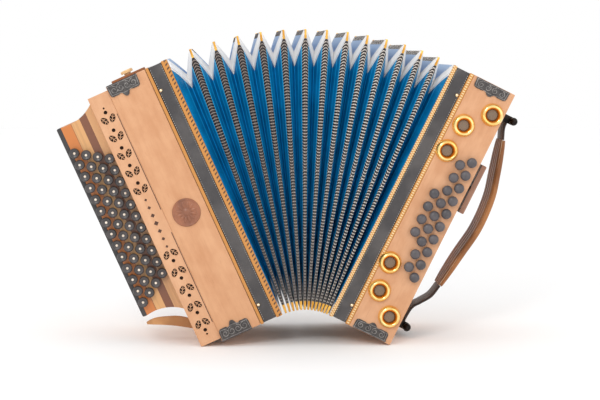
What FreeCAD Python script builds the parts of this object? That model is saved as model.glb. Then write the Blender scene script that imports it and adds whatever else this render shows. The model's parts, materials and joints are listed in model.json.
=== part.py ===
"""Styrian diatonic button accordion, standing fanned open on the lower corners of its two halves.

Each half is built upright in its own flat layout. There, "out" runs from the bellows outwards, y runs
from the front (-) to the back (+), and z is the distance from the fan's apex, the line where the
inner faces of the halves would meet. swing() then turns a layout to its place in the fan.
"""
import FreeCAD, Part
import math
import os

V = FreeCAD.Vector

# Fan of the bellows
TREBLE_DEG = -24.1
BASS_DEG = 26.4
FOLDS = 13
FIRST_GAP_TO_LAST = 1.48
FOOT = 70.0
LENGTH = 357.0
DEPTH = 190.0

# Folds
CREST_THICK = 2.6
CREST_DEEP = 5.0
CREST_SET_BACK = 2.0
PLEAT_DEEP = 28.0
PLEAT_START = 1.5
PLEAT_CLOTH = 3.0
PLEAT_GAP = 0.12
PLEAT_PARTS = 4

# Widths of the treble half, from the bellows outwards
T_INNER_EDGING = 8.0
T_FRAME = 17.5
T_OUTER_EDGING = 4.5
T_CASING = 54.0
T_COVER = 27.0
T_BOARD = 48.0
T_STRIP = 6.0

# Widths of the bass half, from the bellows outwards
B_INNER_EDGING = 5.0
B_FRAME = 18.0
B_OUTER_EDGING = 6.0
B_CASING = 58.0

# Walls
CASE_WALL = 8.0
FRAME_WALL = 12.0
EDGING_PROUD = 1.0
BASS_OUTER_WALL = 6.0
COVER_WALL = 4.0
COVER_SHORTER = 11.0
COVER_SET_BACK = 1.5

# Fingerboard
BOARD_DROP = 23.0
BOARD_THICK = 10.0
BOARD_FROM_TOP = 19.0
BOARD_FROM_FOOT = 63.0
BOARD_FLARE = 13.0
BODY_DEEP = 36.0
BODY_WALL = 5.0

# Buttons
ROW_COUNTS = (14, 13, 12, 11)
BUTTON_R = 6.5
BUTTON_TALL = 5.0
BUTTON_LIFT = 4.2
BUTTON_PITCH = 16.1
ROW_PITCH = 12.6
ROW_EDGE = 9.0
FIRST_BUTTON = 36.5
STEM_R = 2.0
STEM_ROOM = 0.4
PIN_R = 0.9
BUTTON_TRAVEL = 3.5

# Levers
AXLE_R = 1.5
AXLE_ROOM = 0.05
AXLE_OUT_OF_CASE = 14.0
AXLE_BEHIND_BOARD = 22.0
LEVER_THICK = 1.6
LEVER_HIGH = 3.0
HUB_R = 3.0
PALLET_REACH = (42.0, 32.0, 22.0, 12.0)
PALLET = (4.0, 7.0, 11.0)
SOUNDBOARD = 6.0
PALLET_ROOM = 0.3
REED_BLOCK = (30.0, 7.0)

# Bass front: places along the casing are measured from its middle, up (+) or down (-)
BASS_BUTTON_R = 6.5
BASS_BUTTON_PITCH = 18.15
BASS_ROWS = ((10, 46.5, 77.0), (9, 34.0, 68.0), (4, 21.0, 21.0))
HORNS = ((143, 43), (115, 16), (77, 11.5), (-83, 10.5), (-121, 14.5), (-146, 41))
HORN_R = 14.7
HORN_BORE_R = 6.75
HORN_TALL = 7.0
HORN_TUBE_R = 8.5

# Hand strap: (distance out from the bass casing's outer face, place along it)
STRAP_LINE = ((25.8, 122.5), (38.2, 79.7), (46.6, 45.5), (48.8, 3), (43.2, -39), (37.3, -86))
STRAP_THICK = 8.0
STRAP_WIDE = 56.0
BAND_WIDE = 40.0
BAND_THICK = 3.0
BRACKET_UP = (150.0, 24.0)
BRACKET_DOWN = (-154.0, 20.0)
ROLLER_R = 3.0
KNOB_R = 5.3
EYE_R = 4.0

# Air key
AIR_HOLE_R = 8.0
AIR_ALONG = 47.0
KEY_TRAVEL = 3.5
KEY_LENGTH = 68.0
KEY_LIFT = 6.0
AIR_Y = -64.0

TOP = FOOT + LENGTH
MID = FOOT + LENGTH / 2
AIR_Z = MID + AIR_ALONG
FRONT = -DEPTH / 2
BACK = DEPTH / 2
T_FRAME_IN = T_INNER_EDGING
T_FRAME_OUT = T_FRAME_IN + T_FRAME
T_CASE_IN = T_FRAME_OUT + T_OUTER_EDGING
T_CASE_OUT = T_CASE_IN + T_CASING
T_COVER_OUT = T_CASE_OUT + T_COVER
T_BOARD_OUT = T_COVER_OUT + T_BOARD
T_STRIP_OUT = T_BOARD_OUT + T_STRIP
B_FRAME_OUT = B_INNER_EDGING + B_FRAME
B_CASE_IN = B_FRAME_OUT + B_OUTER_EDGING
B_CASE_OUT = B_CASE_IN + B_CASING
COVER_FOOT = FOOT + COVER_SHORTER / 2
COVER_TOP = TOP - COVER_SHORTER / 2
BOARD_TOP = COVER_TOP - BOARD_FROM_TOP
BOARD_LOW = COVER_FOOT + BOARD_FROM_FOOT
BOARD_FACE = FRONT + BOARD_DROP
BODY_BACK = BOARD_FACE + BOARD_THICK + BODY_DEEP
AXLE_Y = BOARD_FACE + BOARD_THICK + AXLE_BEHIND_BOARD
AXLE_OUT = T_CASE_OUT + AXLE_OUT_OF_CASE
TREBLE = -1
BASS = 1


# Small tools

def block(side, out0, out1, y0, y1, z0, z1):
    """A box in a half's layout, given by its two corners."""
    x0 = min(side * out0, side * out1)
    return Part.makeBox(abs(out1 - out0), y1 - y0, z1 - z0, V(x0, y0, z0))


def rod(radius, length, start, direction):
    return Part.makeCylinder(radius, length, start, direction)


def prism(points, depth, direction):
    """A flat outline, given as points, pushed out along a direction."""
    wire = Part.makePolygon(points + points[:1])
    return Part.Face(wire).extrude(direction * depth)


def tube_frame(side, out0, out1, half_deep, z0, z1, wall):
    """A rectangular ring around the bellows' opening."""
    outer = block(side, out0, out1, -half_deep, half_deep, z0, z1)
    inner = block(side, out0 - 1, out1 + 1, wall - half_deep, half_deep - wall, z0 + wall, z1 - wall)
    return outer.cut(inner)


def swing(shape, degrees):
    """Turns a layout about the apex line to its place in the fan."""
    turned = shape.copy()
    turned.rotate(V(0, 0, 0), V(0, 1, 0), degrees)
    return turned


def group(shapes):
    return Part.makeCompound(list(shapes))


# Parts that both halves have

def bellows_frame(side, out0, out1):
    return tube_frame(side, out0, out1, BACK - EDGING_PROUD, FOOT + EDGING_PROUD, TOP - EDGING_PROUD, FRAME_WALL)


def frame_edging(side, inner0, inner1, outer0, outer1):
    strips = ((inner0, inner1), (outer0, outer1))
    return group(tube_frame(side, a, b, BACK, FOOT, TOP, FRAME_WALL) for a, b in strips)


def frame_pins(side, out):
    """Four domed brass pins that hold the bellows frame to its casing, two at the front and two at the back."""
    radius, shank = 2.3, 1.6
    pins = []
    for z in (TOP - 33, FOOT + 25):
        for y, way in ((FRONT + EDGING_PROUD, -1), (BACK - EDGING_PROUD, 1)):
            foot, axis = V(side * out, y, z), V(0, way, 0)
            dome = Part.makeSphere(radius, foot + axis * shank).common(rod(radius, 9, foot + axis * shank, axis))
            pins.append(rod(radius, shank, foot, axis).fuse(dome))
    return group(pins)


def corner_plate(side, out0, out1, at_top, at_front, deep, point):
    """A scalloped metal plate on a casing's corner: two lobes, and a pointed bump between them."""
    plate = 1.4
    edge, sign = (TOP - 0.5, -1) if at_top else (FOOT + 0.5, 1)
    y0 = FRONT - plate if at_front else BACK
    span = out1 - out0
    half = ((0.03, deep * 0.7), (0.05, deep * 0.9), (0.1, deep), (0.28, deep), (0.33, deep * 0.92),
            (0.38, deep * 0.93), (0.44, point * 0.94))
    places = half + ((0.5, point),) + tuple((1 - share, down) for share, down in reversed(half))
    points = [V(side * (out0 + span * 0.03), y0, edge)]
    points += [V(side * (out0 + span * share), y0, edge + sign * down) for share, down in places]
    points.append(V(side * (out0 + span * 0.97), y0, edge))
    return prism(points, plate, V(0, 1, 0))


def corner_plates(side, out0, out1, deep, point):
    return group(corner_plate(side, out0, out1, top, front, deep, point)
                 for top in (True, False) for front in (True, False))


# Treble half

def button_places():
    """(row, out, z) of each treble button: the rows stand half a pitch apart."""
    for row, count in enumerate(ROW_COUNTS):
        out = T_STRIP_OUT - ROW_EDGE - row * ROW_PITCH
        top = BOARD_TOP - FIRST_BUTTON - row * BUTTON_PITCH / 2
        for i in range(count):
            yield row, out, top - BUTTON_PITCH * i


def lever_shift(row):
    """How far a row's levers stand from their buttons along the axle, so that rows pass each other."""
    return LEVER_THICK * (-1.25 if row < 2 else 1.25)


def treble_casing():
    return tube_frame(TREBLE, T_CASE_IN, T_CASE_OUT, BACK, FOOT + 0.5, TOP - 0.5, CASE_WALL)


def pallet_y(row):
    return AXLE_Y - PALLET_REACH[row]


def treble_soundboard():
    """The board that closes the casing, with one tone hole under each pallet."""
    board = block(TREBLE, T_CASE_OUT - SOUNDBOARD, T_CASE_OUT, FRONT + CASE_WALL, BACK - CASE_WALL,
                  FOOT + CASE_WALL + 0.5, TOP - CASE_WALL - 0.5)
    holes = []
    for row, _, z in button_places():
        y, mid = pallet_y(row), z + lever_shift(row)
        holes.append(block(TREBLE, T_CASE_OUT - SOUNDBOARD - 1, T_CASE_OUT + 1, y - 2.4, y + 2.4, mid - 4, mid + 4))
    return board.cut(group(holes))


def treble_reed_blocks():
    """Four wooden blocks on the soundboard's bellows side, with one open chamber behind each tone hole."""
    tall, thick = REED_BLOCK
    out1 = T_CASE_OUT - SOUNDBOARD
    blocks = []
    for row, count in enumerate(ROW_COUNTS):
        zs = [z + lever_shift(row) for r, _, z in button_places() if r == row]
        body = block(TREBLE, out1 - tall, out1, pallet_y(row) - thick / 2, pallet_y(row) + thick / 2,
                     min(zs) - 8, max(zs) + 8)
        rooms = [block(TREBLE, out1 - tall + 4, out1 + 1, pallet_y(row) - 2.4, pallet_y(row) + 2.4, z - 5, z + 5)
                 for z in zs]
        blocks.append(body.cut(group(rooms)))
    return group(blocks)


def treble_reed_plates():
    """One metal reed plate beside each chamber."""
    tall, thick = REED_BLOCK
    out1 = T_CASE_OUT - SOUNDBOARD
    return group(block(TREBLE, out1 - tall + 3, out1 - 3, pallet_y(row) + thick / 2, pallet_y(row) + thick / 2 + 1,
                       z + lever_shift(row) - 7, z + lever_shift(row) + 7) for row, _, z in button_places())


def leaf(mid, length, width, degrees):
    """A pointed leaf outline in the cover's plane: two arcs between its tips."""
    a, b = V(-length / 2, 0, 0), V(length / 2, 0, 0)
    edges = [Part.Arc(a, V(0, 0, width / 2), b).toShape(), Part.Arc(b, V(0, 0, -width / 2), a).toShape()]
    solid = Part.Face(Part.Wire(edges)).extrude(V(0, 30, 0))
    solid.rotate(V(0, 0, 0), V(0, 1, 0), degrees)
    solid.translate(V(mid.x, mid.y, mid.z))
    return solid


def leaf_cutters():
    """Five V pairs of leaves with a round dot each, at both ends of the cover. The lower set is mirrored."""
    pitch, spread = 24.4, 5.3
    middle = -(T_CASE_OUT + T_COVER * 0.5)
    cutters = []
    for end, first, tilt in ((1, COVER_TOP - 34, 1), (-1, COVER_FOOT + 27.5, -1)):
        for i in range(5):
            z = first - end * pitch * i
            for lean in (-1, 1):
                cutters.append(leaf(V(middle + lean * spread, FRONT - 5, z), 12.4, 7.4, lean * tilt * -58))
            cutters.append(rod(2.4, 30, V(middle, FRONT - 5, z + end * 9.6), V(0, 1, 0)))
        cutters.append(rod(1.3, 30, V(middle, FRONT - 5, first + end * 15.2), V(0, 1, 0)))
    return group(cutters)


def treble_cover():
    """The sound cover: a box open towards the casing, with a slot for the levers in its outer wall."""
    half = BACK - COVER_SET_BACK
    shell = block(TREBLE, T_CASE_OUT, T_COVER_OUT, -half, half, COVER_FOOT, COVER_TOP)
    room = block(TREBLE, T_CASE_OUT - 1, T_COVER_OUT - COVER_WALL, COVER_WALL - half, half - COVER_WALL,
                 COVER_FOOT + COVER_WALL, COVER_TOP - COVER_WALL)
    slot = block(TREBLE, T_COVER_OUT - COVER_WALL - 1, T_COVER_OUT + 1, BOARD_FACE + BOARD_THICK + BODY_WALL,
                 BODY_BACK - BODY_WALL, BOARD_LOW + BODY_WALL + 4, BOARD_TOP - BODY_WALL - 4)
    front = block(TREBLE, T_CASE_OUT, T_COVER_OUT - COVER_WALL, -half - 9, COVER_WALL - half, COVER_FOOT, COVER_TOP)
    return shell.cut(room).cut(slot).cut(leaf_cutters().common(front))


def cover_cloth():
    half = BACK - COVER_SET_BACK - COVER_WALL
    return block(TREBLE, T_CASE_OUT + 1.5, T_COVER_OUT - COVER_WALL, -half, 0.6 - half,
                 COVER_FOOT + COVER_WALL, COVER_TOP - COVER_WALL)


def board_outline(y):
    """The fingerboard's outline: its ends sweep out in a concave curve towards the cover."""
    out0, out1 = -T_COVER_OUT, -T_BOARD_OUT
    low, high, flare = BOARD_LOW, BOARD_TOP, BOARD_FLARE
    bend = T_BOARD * 0.3
    a, b = V(out0, y, high + flare), V(out1, y, high)
    c, d = V(out1, y, low), V(out0, y, low - flare)
    top = Part.Arc(a, V(out0 - bend, y, high + flare * 0.28), b).toShape()
    foot = Part.Arc(c, V(out0 - bend, y, low - flare * 0.28), d).toShape()
    sides = [Part.makeLine(b, c), Part.makeLine(d, a)]
    return Part.Face(Part.Wire([top, sides[0], foot, sides[1]]))


def fingerboard():
    board = board_outline(BOARD_FACE).extrude(V(0, BOARD_THICK, 0))
    holes = [rod(STEM_R + STEM_ROOM, BOARD_THICK + 2, V(-out, BOARD_FACE - 1, z), V(0, 1, 0))
             for _, out, z in button_places()]
    return board.cut(group(holes))


def fingerboard_body():
    """The hollow body behind the fingerboard, open to the board, to the cover's slot and to the edge strip."""
    y0 = BOARD_FACE + BOARD_THICK
    shell = block(TREBLE, T_COVER_OUT, T_BOARD_OUT, y0, BODY_BACK, BOARD_LOW, BOARD_TOP)
    room = block(TREBLE, T_COVER_OUT - 1, T_BOARD_OUT + 1, y0 - 1, BODY_BACK - BODY_WALL,
                 BOARD_LOW + BODY_WALL, BOARD_TOP - BODY_WALL)
    return shell.cut(room)


def fingerboard_edge():
    strip = block(TREBLE, T_BOARD_OUT, T_STRIP_OUT, BOARD_FACE, BODY_BACK, BOARD_LOW, BOARD_TOP)
    outer = [e for e in strip.Edges if abs(e.CenterOfMass.x + T_STRIP_OUT) < 0.1]
    return strip.makeFillet(T_STRIP * 0.35, outer)


def treble_button(out, z):
    """A round button on a stem, with a thin pin that ends just short of its lever."""
    head_y = BOARD_FACE - BUTTON_LIFT
    head = rod(BUTTON_R, BUTTON_TALL, V(-out, head_y, z), V(0, -1, 0))
    rim = [e for e in head.Edges if abs(e.CenterOfMass.y - head_y + BUTTON_TALL) < 0.1]
    head = head.makeFillet(1.6, rim)
    stem_end = BOARD_FACE + BOARD_THICK + 2
    pin_end = AXLE_Y - LEVER_HIGH / 2 - STEM_ROOM
    stem = rod(STEM_R, stem_end - head_y, V(-out, head_y, z), V(0, 1, 0))
    pin = rod(PIN_R, pin_end - stem_end, V(-out, stem_end, z), V(0, 1, 0))
    return head.fuse([stem, pin])


def treble_lever(row, out, z):
    """A bent lever on the axle: one arm under its button, and one that carries its pallet."""
    mid = z + lever_shift(row)
    z0, z1 = mid - LEVER_THICK / 2, mid + LEVER_THICK / 2
    arm = block(TREBLE, AXLE_OUT, out + STEM_R, AXLE_Y - LEVER_HIGH / 2, AXLE_Y + LEVER_HIGH / 2, z0, z1)
    reach = PALLET_REACH[row]
    post = block(TREBLE, AXLE_OUT - LEVER_HIGH / 2, AXLE_OUT + LEVER_HIGH / 2, AXLE_Y - reach - 1.5, AXLE_Y, z0, z1)
    tall, deep, wide = PALLET
    foot = T_CASE_OUT + PALLET_ROOM
    neck = block(TREBLE, foot + tall, AXLE_OUT, AXLE_Y - reach - 1.5, AXLE_Y - reach + 1.5, z0, z1)
    pallet = block(TREBLE, foot, foot + tall, AXLE_Y - reach - deep / 2, AXLE_Y - reach + deep / 2,
                   mid - wide / 2, mid + wide / 2)
    hub = rod(HUB_R, LEVER_THICK, V(-AXLE_OUT, AXLE_Y, z0), V(0, 0, 1))
    tip = block(TREBLE, out - STEM_R, out + STEM_R, AXLE_Y - LEVER_HIGH / 2, AXLE_Y - LEVER_HIGH / 2 + 1,
                min(z0, z - PIN_R), max(z1, z + PIN_R))
    whole = arm.fuse([post, neck, pallet, hub, tip])
    bore = rod(AXLE_R + AXLE_ROOM, LEVER_THICK + 2, V(-AXLE_OUT, AXLE_Y, z0 - 1), V(0, 0, 1))
    return whole.cut(bore)


def lever_axle():
    low, high = COVER_FOOT + COVER_WALL, COVER_TOP - COVER_WALL
    return rod(AXLE_R, high - low, V(-AXLE_OUT, AXLE_Y, low), V(0, 0, 1))


def medallion():
    radius, tall = 18.0, 2.4
    out = (T_CASE_IN + T_CASE_OUT) / 2
    disc = rod(radius, tall, V(-out, FRONT, MID - 8), V(0, -1, 0))
    rim = [e for e in disc.Edges if abs(e.CenterOfMass.y - FRONT + tall) < 0.1]
    return disc.makeFillet(1.0, rim)


def strap_eyes():
    """Two lugs for a shoulder strap on the back of the treble casing."""
    out = (T_CASE_IN + T_CASE_OUT) / 2
    eyes = []
    for z in (TOP - 40, FOOT + 40):
        base = block(TREBLE, out - 11, out + 11, BACK, BACK + 2, z - 9, z + 9)
        lug = block(TREBLE, out - 8, out + 8, BACK + 2, BACK + 9, z - 1.5, z + 1.5)
        nose = rod(8, 3, V(-out, BACK + 9, z - 1.5), V(0, 0, 1))
        hole = rod(EYE_R, 5, V(-out, BACK + 9, z - 2.5), V(0, 0, 1))
        eyes.append(base.fuse([lug, nose]).cut(hole))
    return group(eyes)


def strap_tab():
    """The leather tab on the top end of the treble casing."""
    mid = (T_CASE_IN + T_CASE_OUT) / 2 - 4
    tab = block(TREBLE, mid - 23, mid + 23, FRONT + 14, FRONT + 38, TOP - 0.5, TOP + 2.5)
    return tab.makeFillet(6, [e for e in tab.Edges if abs(e.tangentAt(e.FirstParameter).z) > 0.9])


def strap_stud():
    mid = (T_CASE_IN + T_CASE_OUT) / 2 - 4
    foot = V(-mid, FRONT + 26, TOP + 2.5)
    neck = rod(4.5, 2.0, foot, V(0, 0, 1))
    head = rod(8, 4.0, foot + V(0, 0, 2.0), V(0, 0, 1))
    return neck.fuse(head.makeFillet(1.8, [e for e in head.Edges if e.CenterOfMass.z > foot.z + 5]))


def lower_strap():
    """A flat leaf of leather from the cover's outer wall to the lower end of the fingerboard's edge."""
    y0, z0 = BOARD_FACE + 4, BOARD_LOW
    outs = [T_COVER_OUT + share * (T_STRIP_OUT - 1 - T_COVER_OUT) for share in (0, 0.25, 0.5, 0.75, 1)]
    ends = []
    for drops in ((-27.5, -17.5, -12.0, -8.0, -8.5), (-42.0, -33.0, -25.0, -18.0, -11.5)):
        curve = Part.BSplineCurve()
        points = [V(-out, y0, z0 + drop) for out, drop in zip(outs, drops)]
        curve.interpolate(points)
        ends.append((curve.toShape(), points))
    (upper, ups), (under, downs) = ends
    face = Part.Face(Part.Wire([upper, Part.makeLine(ups[-1], downs[-1]), under, Part.makeLine(downs[0], ups[0])]))
    return face.extrude(V(0, 3.0, 0))


# Bellows

def fold_angles():
    """The angle of each fold's crest. The gaps between them shrink evenly from the treble side."""
    gaps = fold_gaps()
    angle, angles = TREBLE_DEG, []
    for gap in gaps[:-1]:
        angle += gap
        angles.append(angle)
    return angles


def fold_gaps():
    shares = [FIRST_GAP_TO_LAST + (1 - FIRST_GAP_TO_LAST) * i / FOLDS for i in range(FOLDS + 1)]
    return [(BASS_DEG - TREBLE_DEG) * share / sum(shares) for share in shares]


def fold_crest():
    """The binding around one fold's crest: a thin rectangular ring."""
    return tube_frame(BASS, -CREST_THICK / 2, CREST_THICK / 2, BACK - CREST_SET_BACK, FOOT + 0.5, TOP, CREST_DEEP)


def pleat_point(degrees, beside, inset, corner):
    """A point at one corner of a rectangle that stands in the fan at an angle, inset from its outline."""
    angle = math.radians(degrees)
    top, back = corner
    r = TOP - inset if top else FOOT + 0.5 + inset
    y = (BACK - CREST_SET_BACK - inset) * (1 if back else -1)
    return V(beside * math.cos(angle) + r * math.sin(angle), y, r * math.cos(angle) - beside * math.sin(angle))


def facets(ring_a, ring_b, valleys):
    """Triangles between two sections. Each diagonal ends on ring_b's valley, so both skins bend alike."""
    faces = []
    for i in range(len(ring_a)):
        j = (i + 1) % len(ring_a)
        if i in valleys:
            threes = (ring_a[i], ring_a[j], ring_b[i]), (ring_a[j], ring_b[j], ring_b[i])
        else:
            threes = (ring_a[i], ring_a[j], ring_b[j]), (ring_a[i], ring_b[j], ring_b[i])
        for three in threes:
            faces.append(Part.Face(Part.makePolygon(list(three) + [three[0]])))
    return faces


def pleat(angle_a, beside_a, angle_b, beside_b):
    """The V-shaped band of card and cloth that runs round between two crests."""
    middle = (angle_a + angle_b) / 2
    start, deep, cloth = PLEAT_START, PLEAT_DEEP, PLEAT_CLOTH
    section = ((angle_a, beside_a, start), (middle, 0, deep), (angle_b, -beside_b, start),
               (angle_b, -beside_b, start + cloth), (middle, 0, deep + cloth), (angle_a, beside_a, start + cloth))
    corners = ((True, False), (True, True), (False, True), (False, False))
    at_corners = [[pleat_point(a, beside, inset, corner) for a, beside, inset in section] for corner in corners]
    rings = []
    for i, ring in enumerate(at_corners):
        onward = at_corners[(i + 1) % 4]
        parts = 1 if corners[i][0] == corners[(i + 1) % 4][0] else PLEAT_PARTS
        rings += [[p + (q - p) * (k / parts) for p, q in zip(ring, onward)] for k in range(parts)]
    faces = []
    for ring, onward in zip(rings, rings[1:] + rings[:1]):
        faces += facets(ring, onward, (1, 4))
    solid = Part.Solid(Part.Shell(faces))
    if solid.Volume < 0:
        solid.reverse()
    return solid


def bellows_pleats():
    angles = [TREBLE_DEG] + fold_angles() + [BASS_DEG]
    beside = [PLEAT_GAP] + [CREST_THICK / 2 + PLEAT_GAP] * FOLDS + [PLEAT_GAP]
    return group(pleat(angles[i], beside[i], angles[i + 1], beside[i + 1]) for i in range(FOLDS + 1))


# Bass half

def bass_casing():
    """The casing, closed on its outer side, with holes for horns, buttons and the air valve."""
    low, high = FOOT, TOP
    shell = block(BASS, B_CASE_IN, B_CASE_OUT, FRONT, BACK, low, high)
    room = block(BASS, B_CASE_IN - 1, B_CASE_OUT - BASS_OUTER_WALL, FRONT + CASE_WALL, BACK - CASE_WALL,
                 low + CASE_WALL, high - CASE_WALL)
    cuts = [rod(HORN_TUBE_R, CASE_WALL + 2, V(B_CASE_IN + out, FRONT - 1, MID + along), V(0, 1, 0))
            for along, out in HORNS]
    cuts += [rod(STEM_R + STEM_ROOM, CASE_WALL + 2, V(B_CASE_IN + out, FRONT - 1, z), V(0, 1, 0))
             for _, out, z in bass_button_places()]
    cuts.append(rod(AIR_HOLE_R, BASS_OUTER_WALL + 2, V(B_CASE_OUT - BASS_OUTER_WALL - 1, AIR_Y, AIR_Z), V(1, 0, 0)))
    return shell.cut(room).cut(group(cuts))


def bass_button_places():
    for row, (count, out, top) in enumerate(BASS_ROWS):
        for i in range(count):
            yield row, out, MID + top - BASS_BUTTON_PITCH * i


def bass_button(out, z):
    """A domed button on a stem through the casing's front."""
    y = FRONT - BUTTON_LIFT
    x = B_CASE_IN + out
    skirt = rod(BASS_BUTTON_R, 2.4, V(x, y, z), V(0, -1, 0))
    dome_r = (BASS_BUTTON_R ** 2 + 3.4 ** 2) / (2 * 3.4)
    ball = Part.makeSphere(dome_r, V(x, y - 2.4 - 3.4 + dome_r, z))
    cap = ball.common(rod(BASS_BUTTON_R, 5, V(x, y - 2.4, z), V(0, -1, 0)))
    stem = rod(STEM_R, BUTTON_LIFT + CASE_WALL + 3, V(x, y, z), V(0, 1, 0))
    return skirt.fuse([cap, stem]).removeSplitter()


def bass_horn(along, out):
    """A turned brass horn mouth: a rolled rim around a flared throat, on a tube through the casing."""
    x, z = B_CASE_IN + out, MID + along
    profile = [V(HORN_BORE_R, CASE_WALL, 0), V(HORN_TUBE_R - 0.1, CASE_WALL, 0), V(HORN_TUBE_R - 0.1, 0, 0),
               V(HORN_R, 0, 0), V(HORN_R, -1.6, 0), V(HORN_R - 2.6, -HORN_TALL * 0.62, 0),
               V(HORN_R - 5.0, -HORN_TALL, 0), V(HORN_R - 6.4, -HORN_TALL * 0.9, 0), V(HORN_BORE_R, -1.0, 0)]
    face = Part.Face(Part.makePolygon(profile + profile[:1]))
    horn = face.revolve(V(0, 0, 0), V(0, 1, 0), 360)
    horn.translate(V(x, FRONT, z))
    return horn


def bass_soundboard():
    board = block(BASS, B_CASE_IN, B_CASE_IN + SOUNDBOARD, FRONT + CASE_WALL, BACK - CASE_WALL,
                  FOOT + CASE_WALL, TOP - CASE_WALL)
    holes = [block(BASS, B_CASE_IN - 1, B_CASE_IN + SOUNDBOARD + 1, y - 3, y + 3, z - 7, z + 7)
             for y, z in bass_reed_places()]
    return board.cut(group(holes))


def bass_reed_places():
    for y in (-42, -14, 14, 42):
        for i in range(8):
            yield y, MID + (i - 3.5) * 32


def bass_reed_blocks():
    """Four wooden blocks that stand from the soundboard towards the bellows."""
    blocks = []
    for y in (-42, -14, 14, 42):
        body = block(BASS, B_CASE_IN - 22, B_CASE_IN, y - 6, y + 6, MID - 128, MID + 128)
        rooms = [block(BASS, B_CASE_IN - 18, B_CASE_IN + 1, y - 3, y + 3, z - 7, z + 7)
                 for at, z in bass_reed_places() if at == y]
        blocks.append(body.cut(group(rooms)))
    return group(blocks)


def strap_side(offset, y):
    """One long side of the padded strap: its centre line moved along its own normal."""
    curve = Part.BSplineCurve()
    curve.interpolate([V(B_CASE_OUT + out, y, MID + along) for out, along in STRAP_LINE])
    points = []
    for i in range(len(STRAP_LINE)):
        at = curve.parameter(V(B_CASE_OUT + STRAP_LINE[i][0], y, MID + STRAP_LINE[i][1]))
        way = curve.tangent(at)[0]
        points.append(curve.value(at) + V(-way.z, 0, way.x) * offset)
    side = Part.BSplineCurve()
    side.interpolate(points)
    return side.toShape(), points


def hand_strap():
    y = -STRAP_WIDE / 2
    near, a = strap_side(-STRAP_THICK / 2, y)
    far, b = strap_side(STRAP_THICK / 2, y)
    face = Part.Face(Part.Wire([near, Part.makeLine(a[-1], b[-1]), far, Part.makeLine(b[0], a[0])]))
    return face.extrude(V(0, STRAP_WIDE, 0))


def band(points):
    """A flat leather band that follows points given as (out from the casing, along it)."""
    y, half = -BAND_WIDE / 2, BAND_THICK / 2
    places = [V(B_CASE_OUT + out, y, MID + along) for out, along in points]
    near, far = [], []
    for i, place in enumerate(places):
        way = (places[min(i + 1, len(places) - 1)] - places[max(i - 1, 0)]).normalize()
        side = V(-way.z, 0, way.x) * half
        near.append(place - side)
        far.append(place + side)
    return prism(near + far[::-1], BAND_WIDE, V(0, 1, 0))


def hand_strap_band():
    """The two ends of the strap's inner band, from the pad to the rollers."""
    upper_pad, lower_pad = STRAP_LINE[0], STRAP_LINE[-1]
    clear = ROLLER_R + 0.4 + BAND_THICK / 2
    up_out, down_out = BRACKET_UP[1] - clear, BRACKET_DOWN[1] - clear
    upper = ((up_out, BRACKET_UP[0]), (up_out + 0.4, BRACKET_UP[0] - 12), (upper_pad[0] - 0.4, upper_pad[1] + 0.6))
    lower = ((lower_pad[0], lower_pad[1] - 0.8), (33.5, -104), (24.5, -118), (17, -130), (down_out, BRACKET_DOWN[0]))
    return group((band(upper), band(lower)))


def strap_bracket(along, out):
    """A base plate on the casing with two ears that hold the roller."""
    half, ear = 26.0, 2.5
    z = MID + along
    base = block(BASS, B_CASE_OUT, B_CASE_OUT + 2, -half, half, z - 9, z + 9)
    ears = []
    for y in (-half, half - ear):
        plate = block(BASS, B_CASE_OUT + 2, B_CASE_OUT + out, y, y + ear, z - 5, z + 5)
        ears.append(plate.fuse(rod(5, ear, V(B_CASE_OUT + out, y, z), V(0, 1, 0))))
    hole = rod(ROLLER_R + 0.05, 2 * half + 2, V(B_CASE_OUT + out, -half - 1, z), V(0, 1, 0))
    return base.fuse(ears).cut(hole)


def strap_roller(along, out):
    """The roller that takes up the band, with its knob at the front."""
    z, half = MID + along, 26.0
    x = B_CASE_OUT + out
    shaft = rod(ROLLER_R, 2 * half + 2, V(x, -half - 1, z), V(0, 1, 0))
    neck = rod(2.6, 5, V(x, -half - 6, z), V(0, 1, 0))
    ball = Part.makeSphere(KNOB_R, V(x, -half - 6 - KNOB_R * 0.7, z))
    return shaft.fuse([neck, ball])


def air_key_plate():
    """The thin plate on the casing under the air key, with the valve's hole."""
    plate = block(BASS, B_CASE_OUT, B_CASE_OUT + 1.5, AIR_Y - 22, AIR_Y + 22, AIR_Z - 47, AIR_Z + 38)
    return plate.cut(rod(AIR_HOLE_R, 4, V(B_CASE_OUT - 1, AIR_Y, AIR_Z), V(1, 0, 0)))


def air_key():
    """The wooden bar that the thumb presses, on a stem through the air hole."""
    x0 = B_CASE_OUT + KEY_LIFT
    bar = block(BASS, x0, x0 + 7, AIR_Y - 11, AIR_Y + 11, AIR_Z - KEY_LENGTH / 2, AIR_Z + KEY_LENGTH / 2)
    bar = bar.makeFillet(2.0, [e for e in bar.Edges if e.CenterOfMass.x > x0 + 6.9])
    stem = rod(2.5, KEY_LIFT + BASS_OUTER_WALL, V(B_CASE_OUT - BASS_OUTER_WALL, AIR_Y, AIR_Z), V(1, 0, 0))
    return bar.fuse(stem)


def air_valve():
    """The valve disc on the stem's inner end, shut against the casing's outer wall."""
    x1 = B_CASE_OUT - BASS_OUTER_WALL
    disc = rod(AIR_HOLE_R + 4, 3.7, V(x1 - 4, AIR_Y, AIR_Z), V(1, 0, 0))
    return disc.fuse(rod(2.5, 4, V(x1 - 4, AIR_Y, AIR_Z), V(1, 0, 0)))


# The whole

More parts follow.
